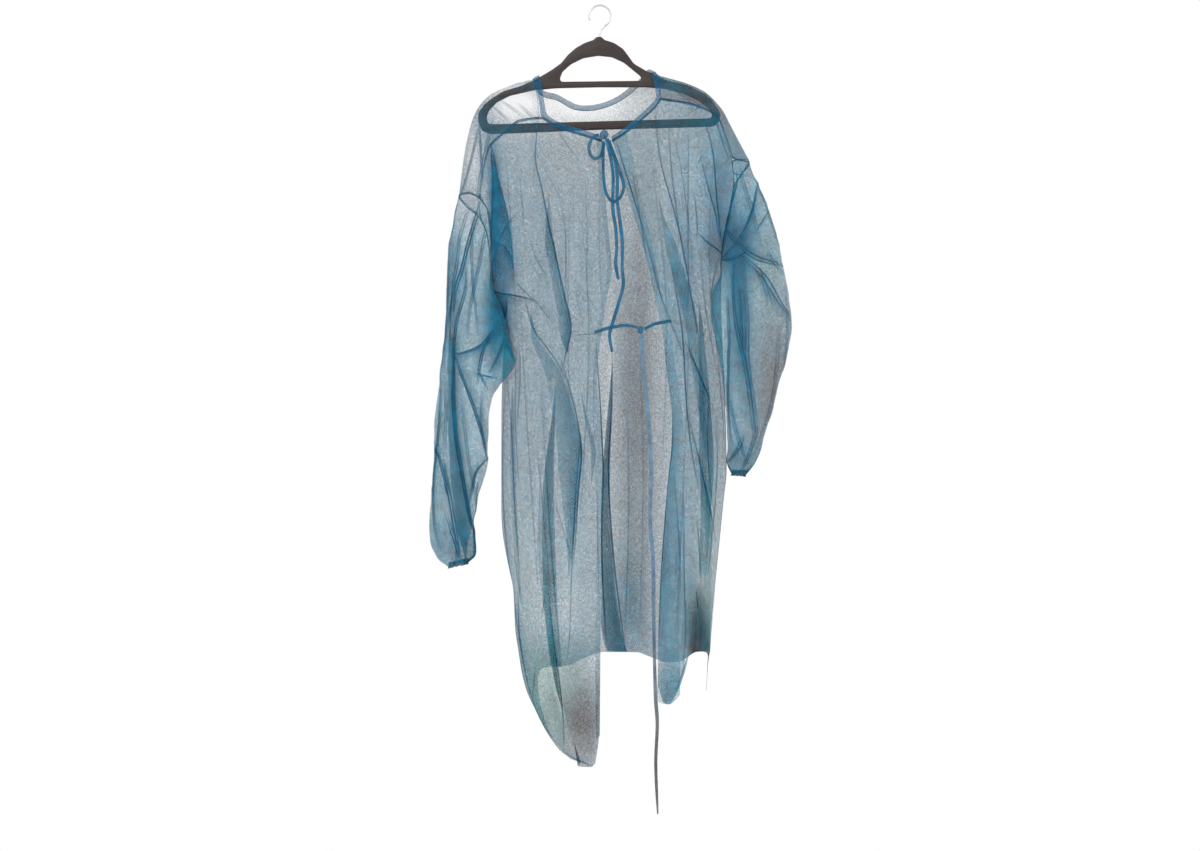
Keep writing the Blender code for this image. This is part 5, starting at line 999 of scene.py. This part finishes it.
def finish_grid(g, table, spots, seed, push, fade, cover, dye_and_shading, last_too, fold=(0.15, 0.7)):
    """Adds creases, crumples, dye and painted shade to a grid, and gives its points and what its material
    reads.

    fold holds how much deeper and how much thinner the cloth looks where a lapped fold is marked."""
    x, z, mark = g[..., 0].copy(), g[..., 2].copy(), np.clip(g[..., 3], 0, 1)
    height, gap, line, shade = crease_field(x, z, table)
    height = height + crumple(x, z, seed)
    seam = seam_distance(g, last_too)
    g[..., :3] += push * (height * fade)[..., None]
    streaks = 0.14 * soft_noise(x, z, 17, 150, seed + 5)
    # How far the colour goes to the deep one: random streaks, lapped folds, and from the spots the painted
    # shade under the arms.
    deep_and_shade = fold[0] * mark + streaks + 0.08 * soft_noise(x + z, z - x, 30, 60, seed + 6)
    green, grey, dense = (np.zeros_like(x) for _ in range(3))
    for x0, z0, across, up, *more in spots:
        w = np.exp(-((x - x0) / across) ** 2 - ((z - z0) / up) ** 2)
        deep_and_shade, green, grey, dense = (v + m * w for v, m in zip((deep_and_shade, green, grey, dense), more))
    grey = np.clip(grey, 0, 1) * (1 - 0.8 * mark)
    green = np.clip(green + 0.1 * soft_noise(x, z, 60, 90, seed + 7), 0, 1)
    colour = np.array(DYE_AND_SHADING[dye_and_shading]) * np.ones(x.shape + (1,))
    for name, share in (
            ("bright", 0.8 * mark), ("green", green), ("grey", grey), ("deep_and_shade", np.clip(deep_and_shade, 0, 1))):
        colour += (np.array(DYE_AND_SHADING[name]) - colour) * share[..., None]
    level = np.clip(cover * (1 - fold[1] * mark) + (dense + 0.18 * np.clip(deep_and_shade, 0, 1)) * (1 - 0.75 * mark)
                    - 0.1 * np.clip(-deep_and_shade, 0, 1), 0.03, 0.95)
    return g[..., :3], {"dye_and_shading": colour, "cover": level, "seam": seam, "gap": gap, "line": line, "shade": shade}


def plain_looks(shape, colour, level):
    """Looks of a piece without creases or seams of its own."""
    return {"dye_and_shading": np.ones(shape + (1,)) * np.asarray(colour), "cover": np.ones(shape) * level,
            "seam": np.full(shape, NO_SEAM), "gap": np.full(shape + (3,), NO_GAP),
            "line": np.zeros(shape + (3,)), "shade": np.zeros(shape + (3,))}


# Meshes

def linked(name, data):
    """New object in the scene."""
    obj = bpy.data.objects.new(name, data)
    bpy.context.collection.objects.link(obj)
    return obj


def grid_normals(g, wrap):
    """Direction across the cloth at each point, evened out between the rows."""
    across = np.roll(g, -1, axis=1) - np.roll(g, 1, axis=1) if wrap else np.gradient(g, axis=1)
    n = np.cross(across, np.gradient(g, axis=0))
    n /= np.linalg.norm(n, axis=2)[:, :, None] + 1e-12
    n = n + 0.5 * (np.concatenate([n[:1], n[:-1]]) + np.concatenate([n[1:], n[-1:]]))
    return n / (np.linalg.norm(n, axis=2)[:, :, None] + 1e-12)


def new_object(name, verts, faces, material, looks=None, sharp=45):
    """Mesh piece in metres that rides on the gown, with what its material reads at each point."""
    mesh = bpy.data.meshes.new(name)
    mesh.from_pydata((np.asarray(verts, float) * 0.001).tolist(), [], faces)
    bm = bmesh.new()
    bm.from_mesh(mesh)
    bmesh.ops.recalc_face_normals(bm, faces=bm.faces)
    bm.to_mesh(mesh)
    bm.free()
    for key, values in (looks or {}).items():
        kind, field = ("FLOAT", "value") if values.ndim == 1 else ("FLOAT_VECTOR", "vector")
        mesh.attributes.new(key, kind, "POINT").data.foreach_set(field, values.ravel())
    for face in mesh.polygons:
        face.use_smooth = True
    mesh.set_sharp_from_angle(angle=math.radians(sharp))
    obj = linked(name, mesh)
    obj.data.materials.append(material)
    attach(obj, "root")
    return obj


def cloth(name, g, looks, material, thick=SHELL, wrap=False):
    """Thin closed shell around a grid of points; wrap joins the last column to the first."""
    r, c, _ = g.shape
    n = grid_normals(g, wrap)
    verts = np.concatenate([(g + n * thick / 2).reshape(-1, 3), (g - n * thick / 2).reshape(-1, 3)])
    back = r * c
    last = c if wrap else c - 1
    i, j = np.meshgrid(np.arange(r - 1), np.arange(last), indexing="ij")
    a, b = (i * c + j).ravel(), (i * c + (j + 1) % c).ravel()
    d, e = a + c, b + c
    faces = [np.column_stack([a, b, e, d]), np.column_stack([back + a, back + d, back + e, back + b])]
    for row in (0, r - 1):
        j = np.arange(last)
        a, b = row * c + j, row * c + (j + 1) % c
        faces.append(np.column_stack([a, b, back + b, back + a]))
    if not wrap:
        for column in (0, c - 1):
            a = np.arange(r - 1) * c + column
            faces.append(np.column_stack([a, a + c, back + a + c, back + a]))
    both = {k: np.concatenate([v.reshape((r * c,) + v.shape[2:])] * 2) for k, v in looks.items()}
    return new_object(name, verts, np.concatenate(faces).tolist(), material, both)


def tube_faces(rings, sides, base=0):
    """Faces between rings of points that follow one another."""
    return [(a, b, b + sides, a + sides) for start in range(base, base + (rings - 1) * sides, sides)
            for a, b in ((start + j, start + (j + 1) % sides) for j in range(sides))]


def strip(name, points, wide, count, tip, seed, tint):
    """Tie folded from a strip of cloth along a path, creased down its middle, drawn in to its tip."""
    path = smooth_path(points, count)
    along = unit(np.gradient(path, axis=0))
    face = np.array((0.0, -1.0, 0.0))
    out = unit(face - along * (along @ face)[:, None])
    across = np.cross(along, out)
    run = np.arange(count) * (np.linalg.norm(path[1] - path[0]))
    share = np.linspace(0, 1, count)
    half = wide / 2 * np.where(share > 0.93, 1 + (tip - 1) * (share - 0.93) / 0.07, 1.0)
    half *= 1 + 0.12 * soft_noise(run, run, 22, ENDLESS, seed)
    turn = 0.22 * soft_noise(run, run, 45, ENDLESS, seed + 1)
    verts, k = [], len(STRIP_CORNERS)
    for i in range(count):
        u = across[i] * math.cos(turn[i]) + out[i] * math.sin(turn[i])
        v = out[i] * math.cos(turn[i]) - across[i] * math.sin(turn[i])
        verts += [path[i] + u * half[i] * a + v * TIE_THICK * b for a, b in STRIP_CORNERS]
    faces = tube_faces(count, k) + [tuple(range(k)), tuple(range((count - 1) * k, count * k))]
    looks = plain_looks((count * k,), DYE_AND_SHADING["tie"], 0.0)
    if tint:
        looks["dye_and_shading"] = np.repeat(tint(share), k, axis=0)
    looks["cover"] = np.repeat(np.clip(0.7 + 0.1 * soft_noise(run, run, 12, ENDLESS, seed + 2), 0, 1), k)
    return new_object(name, verts, faces, TIES, looks)


def knot(name, centre, half, seed, rings=24, sides=40):
    """Small tied lump with the wraps of the strip showing."""
    polar = np.linspace(0, math.pi, rings + 2)[1:-1, None]
    turn = np.linspace(0, 2 * math.pi, sides, endpoint=False)[None, :]
    wraps = 1 + 0.07 * np.sin(3 * turn + 2 * polar) + 0.06 * np.sin(7 * polar + 2 * np.cos(turn) + seed)
    points = np.stack([centre[0] + half[0] * np.sin(polar) * np.cos(turn) * wraps,
                       centre[1] + half[1] * np.sin(polar) * np.sin(turn) * wraps,
                       centre[2] + half[2] * np.cos(polar) * np.ones_like(turn)], axis=-1).reshape(-1, 3)
    top, low = len(points), len(points) + 1
    verts = np.vstack([points, [(*centre[:2], centre[2] + half[2]), (*centre[:2], centre[2] - half[2])]])
    faces = tube_faces(rings, sides)
    for j in range(sides):
        after, base = (j + 1) % sides, (rings - 1) * sides
        faces += [(top, after, j), (low, base + j, base + after)]
    return new_object(name, verts, faces, TIES, plain_looks((len(verts),), DYE_AND_SHADING["tie"], 0.6))


def stitches(name, path, pitch, long, thick, material, lean=0.0, sides=6):
    """Row of thread stitches along a path, as one joined mesh; lean turns every other one into a zigzag."""
    length = run_length(path)
    verts, faces = [], []
    for n, a in enumerate(np.arange(pitch, length[-1] - pitch, pitch)):
        ends = [read_line(path, length, a + s * long / 2) for s in (-1, 1)]
        along = (ends[1] - ends[0]) / np.linalg.norm(ends[1] - ends[0])
        u = np.cross(along, (0.0, 0.0, 1.0) if abs(along[2]) < 0.9 else (1.0, 0.0, 0.0))
        u /= np.linalg.norm(u)
        v = np.cross(along, u)
        offset = np.array((0, 0, lean)) * (1 if n % 2 else -1)
        base = len(verts)
        for s, r in STITCH_RINGS:
            q = ends[0] * (1 - s) + ends[1] * s + offset * (2 * s - 1)
            for t in (2 * math.pi * j / sides for j in range(sides)):
                verts.append(q + (u * math.cos(t) + v * math.sin(t)) * thick / 2 * r)
        faces += tube_faces(4, sides, base)
        faces += [tuple(range(base, base + sides)), tuple(range(base + 3 * sides, base + 4 * sides))]
    return new_object(name, verts, faces, material)


def inset(loop, amount):
    """Closed loop moved to its inside by the amount."""
    p = np.array(loop, float)
    following, previous = np.roll(p, -1, axis=0), np.roll(p, 1, axis=0)
    m = unit(sum(unit(np.stack([step[:, 1], -step[:, 0]], 1)) for step in (following - p, p - previous)))
    area = 0.5 * np.sum(p[:, 0] * following[:, 1] - following[:, 0] * p[:, 1])
    return p - m * amount * (1 if area > 0 else -1)


def plate(name, outline, holes, thick, layers, material):
    """Flat plate with openings whose long edges follow the layers: share of the half thickness, inset."""
    loops = [outline] + holes
    verts, faces, sizes = [], [], [len(p) for p in loops]
    for share, amount in layers:
        for k, loop in enumerate(loops):
            verts += [(x, share * thick / 2, z) for x, z in inset(loop, amount if k == 0 else -amount)]
    per, last = sum(sizes), len(layers) - 1
    starts = [sum(sizes[:k]) for k in range(len(sizes))]
    flat = [[(v[0], v[2], 0.0) for v in verts[start:start + size]] for start, size in zip(starts, sizes)]
    for tri in tessellate_polygon(flat):
        faces += [tuple(tri), tuple(last * per + t for t in reversed(tri))]
    for layer in range(last):
        for start, size in zip(starts, sizes):
            for j in range(size):
                a, b = layer * per + start + j, layer * per + start + (j + 1) % size
                faces.append((a, b, b + per, a + per))
    return new_object(name, verts, faces, material, sharp=35)


def rounded(loop, count):
    """Closed loop through the table's points, evenly spaced and slightly smoothed."""
    p = np.array(loop + loop[:1], float)
    length = run_length(p)
    q = read_line(p, length, np.linspace(0, length[-1], count, endpoint=False))
    return 0.25 * np.roll(q, 1, axis=0) + 0.5 * q + 0.25 * np.roll(q, -1, axis=0)


# Materials

class Look:
    """One material, and short ways to add nodes to it and to set its surface."""

    def __init__(self, name):
        self.material = bpy.data.materials.new(name)
        self.material.use_nodes = True
        self.tree = self.material.node_tree
        self.coords = self.add("TexCoord", "Object", {})

    def join(self, value, socket):
        """Links a node's output to the socket, or gives the socket a value or a colour."""
        if isinstance(value, bpy.types.NodeSocket):
            self.tree.links.new(value, socket)
        elif socket.type == "RGBA":
            socket.default_value = (*value, 1)
        else:
            socket.default_value = value

    def add(self, kind, out, inputs, **settings):
        """New node with its settings and inputs; gives the named output."""
        node = self.tree.nodes.new("ShaderNode" + kind)
        for key, value in settings.items():
            setattr(node, key, value)
        for key, value in inputs.items():
            self.join(value, node.inputs[key])
        return node.outputs[out]

    def surface(self, **values):
        """Sets inputs of the surface, named with _ for each space."""
        for key, value in values.items():
            self.join(value, self.tree.nodes["Principled BSDF"].inputs[key.replace("_", " ")])

    def noise(self, scale, detail, stretch=(1, 1, 1)):
        """Noise in the piece's own coordinates."""
        place = self.add("Mapping", "Vector", {"Vector": self.coords, "Scale": stretch})
        return self.add("TexNoise", "Fac", {"Vector": place, "Scale": scale, "Detail": detail})

    def math(self, kind, a, b, clamp=False):
        """Sum, difference or product of two values."""
        return self.add("Math", 0, {0: a, 1: b}, operation=kind, use_clamp=clamp)

    def dot(self, a, b):
        """Sum of the products of the three channels."""
        return self.add("VectorMath", "Value", {0: a, 1: b}, operation="DOT_PRODUCT")

    def remap(self, value, low, high, start, end, smooth=True):
        """Value of one range moved to another."""
        return self.add("MapRange", "Result", {0: value, 1: low, 2: high, 3: start, 4: end},
                        interpolation_type="SMOOTHSTEP" if smooth else "LINEAR")

    def remap_three(self, value, *ends):
        """Three channels, each moved smoothly from one range to another."""
        inputs = {6: value, **{7 + i: (end,) * 3 for i, end in enumerate(ends)}}
        return self.add("MapRange", "Vector", inputs, data_type="FLOAT_VECTOR", interpolation_type="SMOOTHSTEP")

    def blend(self, share, under, over, kind="MIX"):
        """Colour made of two."""
        return self.add("Mix", 2, {0: share, 6: under, 7: over}, data_type="RGBA", blend_type=kind)

    def bump(self, height, strength, distance):
        """Fine relief of the surface."""
        self.surface(Normal=self.add("Bump", "Normal",
                                     {"Strength": strength, "Distance": distance, "Height": height}))


def sheer_cloth(name, speckle, rough):
    """Thin nonwoven: clumped fibres that let light by, with painted shade along crease lines and beside folds,
    and seams.
    """
    look = Look(name)
    dye_and_shading, cover, seam, gap, line, shade = (
        look.add("Attribute", out, {}, attribute_name=key)
        for key, out in (("dye_and_shading", "Color"), ("cover", "Fac"), ("seam", "Fac"), ("gap", "Vector"),
                         ("line", "Vector"), ("shade", "Vector")))
    # Crease lines and the shade beside folds are painted shade; seams are the cloth's own darker joints.
    distance = look.add("VectorMath", "Vector", {0: gap}, operation="ABSOLUTE")
    lines = look.dot(look.remap_three(distance, 0.5, 2.0, 1, 0), line)
    shades = look.dot(look.remap_three(gap, -0.7, 0.7, 0, 1), shade)
    seams = look.remap(seam, 1.3, 2.2, 0.75, 0)
    dark = look.math("ADD", look.math("MULTIPLY", lines, 0.9), seams, True)
    depth = look.math("ADD", dark, look.math("MULTIPLY", shades, 0.9), True)
    tone = look.remap(look.noise(45.0, 2.0), 0.3, 0.7, 0.7, 1.3, False)
    dyed = look.blend(dark, look.blend(depth, dye_and_shading, DYE_AND_SHADING["deep_and_shade"]), DYE_AND_SHADING["seam_and_crease_shade"])
    fibre, clump = look.noise(560.0, 3.0), look.noise(190.0, 2.0)
    grain = look.math("MULTIPLY", look.math("SUBTRACT", fibre, 0.5), speckle)
    soft = look.math("MULTIPLY", look.math("SUBTRACT", clump, 0.5), 0.22)
    thick = look.math("MULTIPLY", cover, 6.0, True)
    mottle = look.math("MULTIPLY", look.math("ADD", grain, soft), thick)
    # Painted crease and fold shade also makes the cloth denser.
    more = look.math("ADD", look.math("MULTIPLY", dark, 0.55), look.math("MULTIPLY", shades, 0.3))
    look.surface(Base_Color=look.blend(1.0, dyed, tone, "MULTIPLY"),
                 Alpha=look.math("ADD", look.math("ADD", mottle, cover), more, True), Roughness=rough,
                 Specular_IOR_Level=0.3, Sheen_Weight=0.1, Sheen_Roughness=0.4)
    look.bump(fibre, 0.35, 0.0004)
    return look.material


def thread_material(name, colour):
    """Twisted sewing thread."""
    look = Look(name)
    twist = look.noise(2500.0, 3.0)
    look.surface(Base_Color=look.blend(twist, colour, [c * 0.5 for c in colour]), Roughness=0.8)
    return look.material


def plastic_material():
    """Dark brown moulded plastic with fine scuffs."""
    look = Look("hanger_brown")
    scuff = look.noise(120.0, 6.0, (0.3, 1, 1))
    look.surface(Base_Color=look.blend(scuff, (0.013, 0.008, 0.007), (0.036, 0.022, 0.018)),
                 Roughness=look.remap(scuff, 0, 1, 0.24, 0.46, False))
    look.bump(look.noise(900.0, 2.0), 0.15, 0.0003)
    return look.material


def metal_material():
    """Drawn steel wire."""
    look = Look("hook_steel")
    drawn = look.noise(300.0, 4.0, (1, 1, 6))
    look.surface(Base_Color=(0.66, 0.66, 0.67), Metallic=1.0,
                 Roughness=look.remap(drawn, 0, 1, 0.14, 0.34, False))
    look.bump(drawn, 0.08, 0.0002)
    return look.material


GOWN = sheer_cloth("gown_nonwoven", 0.75, 0.7)
TIES = sheer_cloth("tie_nonwoven", 0.5, 0.75)
ELASTIC = sheer_cloth("cuff_gathers", 0.5, 0.8)
THREAD = thread_material("thread_brown", (0.16, 0.10, 0.06))
BLUE_THREAD = thread_material("thread_blue", (0.02, 0.07, 0.12))

# Panels

left = back_panel(LEFT_NEAR_EDGE, LEFT_OPENING, 1, LEFT_FLUTES, [LAP_C, LAP_D, LAP_B, LAP_A], (2, 2, 2, 2, 5),
                  TURN_L, LEFT_TOP, LEFT_HEM, 3)
right = back_panel(RIGHT_NEAR_EDGE, RIGHT_OPENING, -1, RIGHT_FLUTES, [LAP_H, LAP_E], (2, 3, 9),
                   TURN_R, RIGHT_TOP, RIGHT_HEM, 4)
parts = {}
for name, grid, creases, spots, seed, toward, faded_rows, cover, dye_and_shading, last_too, fold, top in (
        ("back_panel_left", left, CREASES_LEFT, SPOTS_LEFT, 11, -1, 14, COVER_NEAR, "plain", False,
         (0.05, 0.9), -SEAM_WIDE),
        ("back_panel_right", right, CREASES_RIGHT, SPOTS_RIGHT, 23, -1, 14, COVER_NEAR, "bright", False,
         (0.05, 0.9), -SEAM_WIDE),
        ("front_panel", front_panel(3), CREASES_FRONT, SPOTS_FRONT, 37, 1, 38, COVER_FAR, "plain", True,
         (0.1, 1.0), SIDE_GAP)):
    points, looks = finish_grid(grid, creases, spots, seed, np.array((0, toward, 0)),
                                edge_fade(grid.shape, faded_rows, 6), cover, dye_and_shading, last_too, fold)
    parts[name] = cloth(name, push_edges(points, top, SIDE_GAP, SIDE_GAP), looks, GOWN)

# Sleeves and cuffs

for side, table, armhole, lap, columns, creases, spots, seed in (
        ("left", LEFT_SLEEVE, LEFT_ARMHOLE, LAP_S, 26, CREASES_LEFT_SLEEVE, SPOTS_LEFT_SLEEVE, 51),
        ("right", RIGHT_SLEEVE, RIGHT_ARMHOLE, None, 34, CREASES_RIGHT_SLEEVE, SPOTS_RIGHT_SLEEVE, 67)):
    grid = sleeve(table, armhole, lap, columns)
    n = grid_normals(grid[..., :3], True)
    out = grid[..., :3] - grid[..., :3].mean(axis=1, keepdims=True)
    n *= np.sign((n * out).sum(axis=2).mean())
    share = np.linspace(0, 1, ROWS_SLEEVE)[:, None]
    fade = np.clip(share / 0.05, 0, 1) * np.clip((1 - share) / 0.03, 0, 1) * np.ones(grid.shape[:2])
    points, looks = finish_grid(grid, creases, spots, seed, n, fade, COVER_SLEEVE, "bright", True)
    turn = np.linspace(0, 2 * math.pi, grid.shape[1], endpoint=False)
    gather = (np.clip((share - 0.82) / 0.18, 0, 1) ** 1.5
              * (0.75 + 0.5 * soft_noise(turn[None, :] * 10, share, 7, 9, seed)))
    waves = PUFFS * turn + 2.5 * np.sin(2 * turn)
    points = push_edges(points + n * (1.7 * gather * np.sin(waves))[..., None], top=-SEAM_WIDE)
    parts["sleeve_" + side] = cloth("sleeve_" + side, points, looks, GOWN, wrap=True)

    last, mid = points[-1], points[-1].mean(axis=0)
    step = (last - points[-2]).mean(axis=0)
    step /= np.linalg.norm(step)
    rings = []
    for d in np.linspace(0, 1, 9):
        puff = 0.93 - 0.04 * math.sin(math.pi * d)
        ruffle = 0.05 * np.sin(waves + 0.6 * d)[:, None] * (0.4 + d)
        rings.append(mid + (last - mid) * (puff + ruffle) + step * CUFF_TALL * (d - 0.6))
    rings = np.array(rings)
    tone = np.array(DYE_AND_SHADING["deep_and_shade"]) * 0.6 + np.array((0.03, 0.02, 0.01))
    looks = plain_looks(rings.shape[:2], tone, 0.5)
    parts["cuff_" + side] = cloth("cuff_" + side, rings, looks, ELASTIC, thick=1.0, wrap=True)
    ring = rings[5] + unit(rings[5] - rings[5].mean(axis=0)) * 0.8
    stitches("cuff_stitches_" + side, np.vstack([ring, ring[:1]]), 2.6, 2.9, 0.5, THREAD,
             lean=1.0)

# Neck binding and its stitching

line = np.array(NECK_LINE)
low, high = smooth_path(line[:, :3], NECK_POINTS), smooth_path(line[:, 3:], NECK_POINTS)
low = low - unit(high - low) * 2.0
binding = np.array([low + (high - low) * s for s in np.linspace(0, 1, 7)])
normal = grid_normals(binding, False)
run = np.arange(NECK_POINTS) * 2.4
uneven = 0.3 + 0.25 * soft_noise(run, run, 9, ENDLESS, 71)
roll = np.sin(np.linspace(0, math.pi, 7))[:, None] * uneven[None, :]
binding = binding + normal * roll[..., None]
parts["neck_binding"] = cloth("neck_binding", binding, plain_looks(binding.shape[:2], DYE_AND_SHADING["tie"], 0.44),
                              TIES, thick=2.4)
for name, sign in (("neck_stitches_out", 1), ("neck_stitches_in", -1)):
    stitches(name, binding[2] + normal[2] * sign * 1.3, 3.4, 2.2, 0.35, BLUE_THREAD)

# Ties

def tail_tint(share):
    """The waist tie's free end is paler where light falls on it and brownish low down."""
    pale, brown = np.array((0.13, 0.24, 0.36)), np.array((0.06, 0.065, 0.06))
    s = np.clip((share - 0.45) / 0.4, 0, 1)[:, None]
    return pale * (1 - s) + brown * s


parts["neck_tie_knot"] = knot("neck_tie_knot", KNOT_C, (7.8, 4.2, 9.0), 1)
parts["waist_tie_knot"] = knot("waist_tie_knot", WAIST_C, (5.6, 3.8, 7.2), 2)
for name, points, wide, count, tip, seed, tint in (
        ("neck_tie_loop_small", LOOP_SMALL, TIE_WIDE, 60, 1.0, 81, None),
        ("neck_tie_loop_long", LOOP_LONG, TIE_WIDE, 100, 1.0, 83, None),
        ("neck_tie_tail_a", TAIL_A, TIE_WIDE, 90, 0.8, 85, None),
        ("neck_tie_tail_b", TAIL_B, TIE_WIDE, 120, 0.8, 87, None),
        ("waist_tie_left", WAIST_L, TIE_WIDE, 40, 1.0, 89, None),
        ("waist_tie_right", WAIST_R, TIE_WIDE, 30, 1.0, 91, None),
        ("waist_tie_tail", WAIST_T, TAIL_WIDE, 220, 0.4, 93, tail_tint)):
    parts[name] = strip(name, points, wide, count, tip, seed, tint)

# Hanger

parts["hanger_frame"] = plate("hanger_frame", rounded(HANGER_OUT, 300),
                              [rounded(HANGER_EYE, 110), rounded(HANGER_MOUTH, 240)], HANGER_THICK,
                              HANGER_LAYERS, plastic_material())
for name, piece in parts.items():
    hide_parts(name)
steel = metal_material()
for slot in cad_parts["hanger_hook"].material_slots:
    slot.material = steel

# Floor, light and camera

world = bpy.data.worlds.new("studio")
world.use_nodes = True
background = world.node_tree.nodes["Background"].inputs
background["Color"].default_value, background["Strength"].default_value = (1.0, 1.0, 1.0, 1), 1.0
bpy.context.scene.world = world

bm = bmesh.new()
bmesh.ops.create_circle(bm, cap_ends=True, segments=96, radius=9.0)
floor_mesh = bpy.data.meshes.new("floor")
bm.to_mesh(floor_mesh)
bm.free()
floor = linked("floor", floor_mesh)
floor.location.z = FLOOR_HEIGHT * 0.001
pale = Look("pale_floor")
away = pale.remap(pale.add("VectorMath", "Value", {0: pale.coords}, operation="LENGTH"), 0.25, 0.8, 0, 1)
pale.surface(Base_Color=pale.blend(away, (0.9, 0.9, 0.9), (0.0, 0.0, 0.0)), Emission_Strength=away,
             Emission_Color=(1, 1, 1), Specular_IOR_Level=0.0, Roughness=0.9)
floor_mesh.materials.append(pale.material)

for name, place, size, watts in (("key", (-1.6, -2.6, 1.2), 2.2, 30), ("fill", (2.4, -2.0, 0.2), 2.4, 10),
                                 ("back", (0.6, 2.8, 0.8), 2.4, 20)):
    lamp = bpy.data.lights.new(name, "AREA")
    lamp.size, lamp.energy = size, watts
    obj = linked(name, lamp)
    obj.location = place
    aim = -np.array(place) + np.array((0, 0, CAMERA_HEIGHT * 0.001))
    tilt, turn = math.atan2(math.hypot(aim[0], aim[1]), -aim[2]), math.atan2(aim[0], -aim[1]) + math.pi
    obj.rotation_euler = (tilt, 0, turn)

camera = linked("camera", bpy.data.cameras.new("camera"))
camera.location = (0, -CAMERA_AWAY * 0.001, CAMERA_HEIGHT * 0.001)
camera.rotation_euler = (math.pi / 2, 0, 0)
camera.data.sensor_width = SENSOR_WIDTH
camera.data.lens = SENSOR_WIDTH * CAMERA_AWAY / VIEW_WIDTH
bpy.context.scene.camera = camera
bpy.context.scene.view_settings.view_transform = "Standard"
bpy.context.scene.cycles.transparent_max_bounces = 96
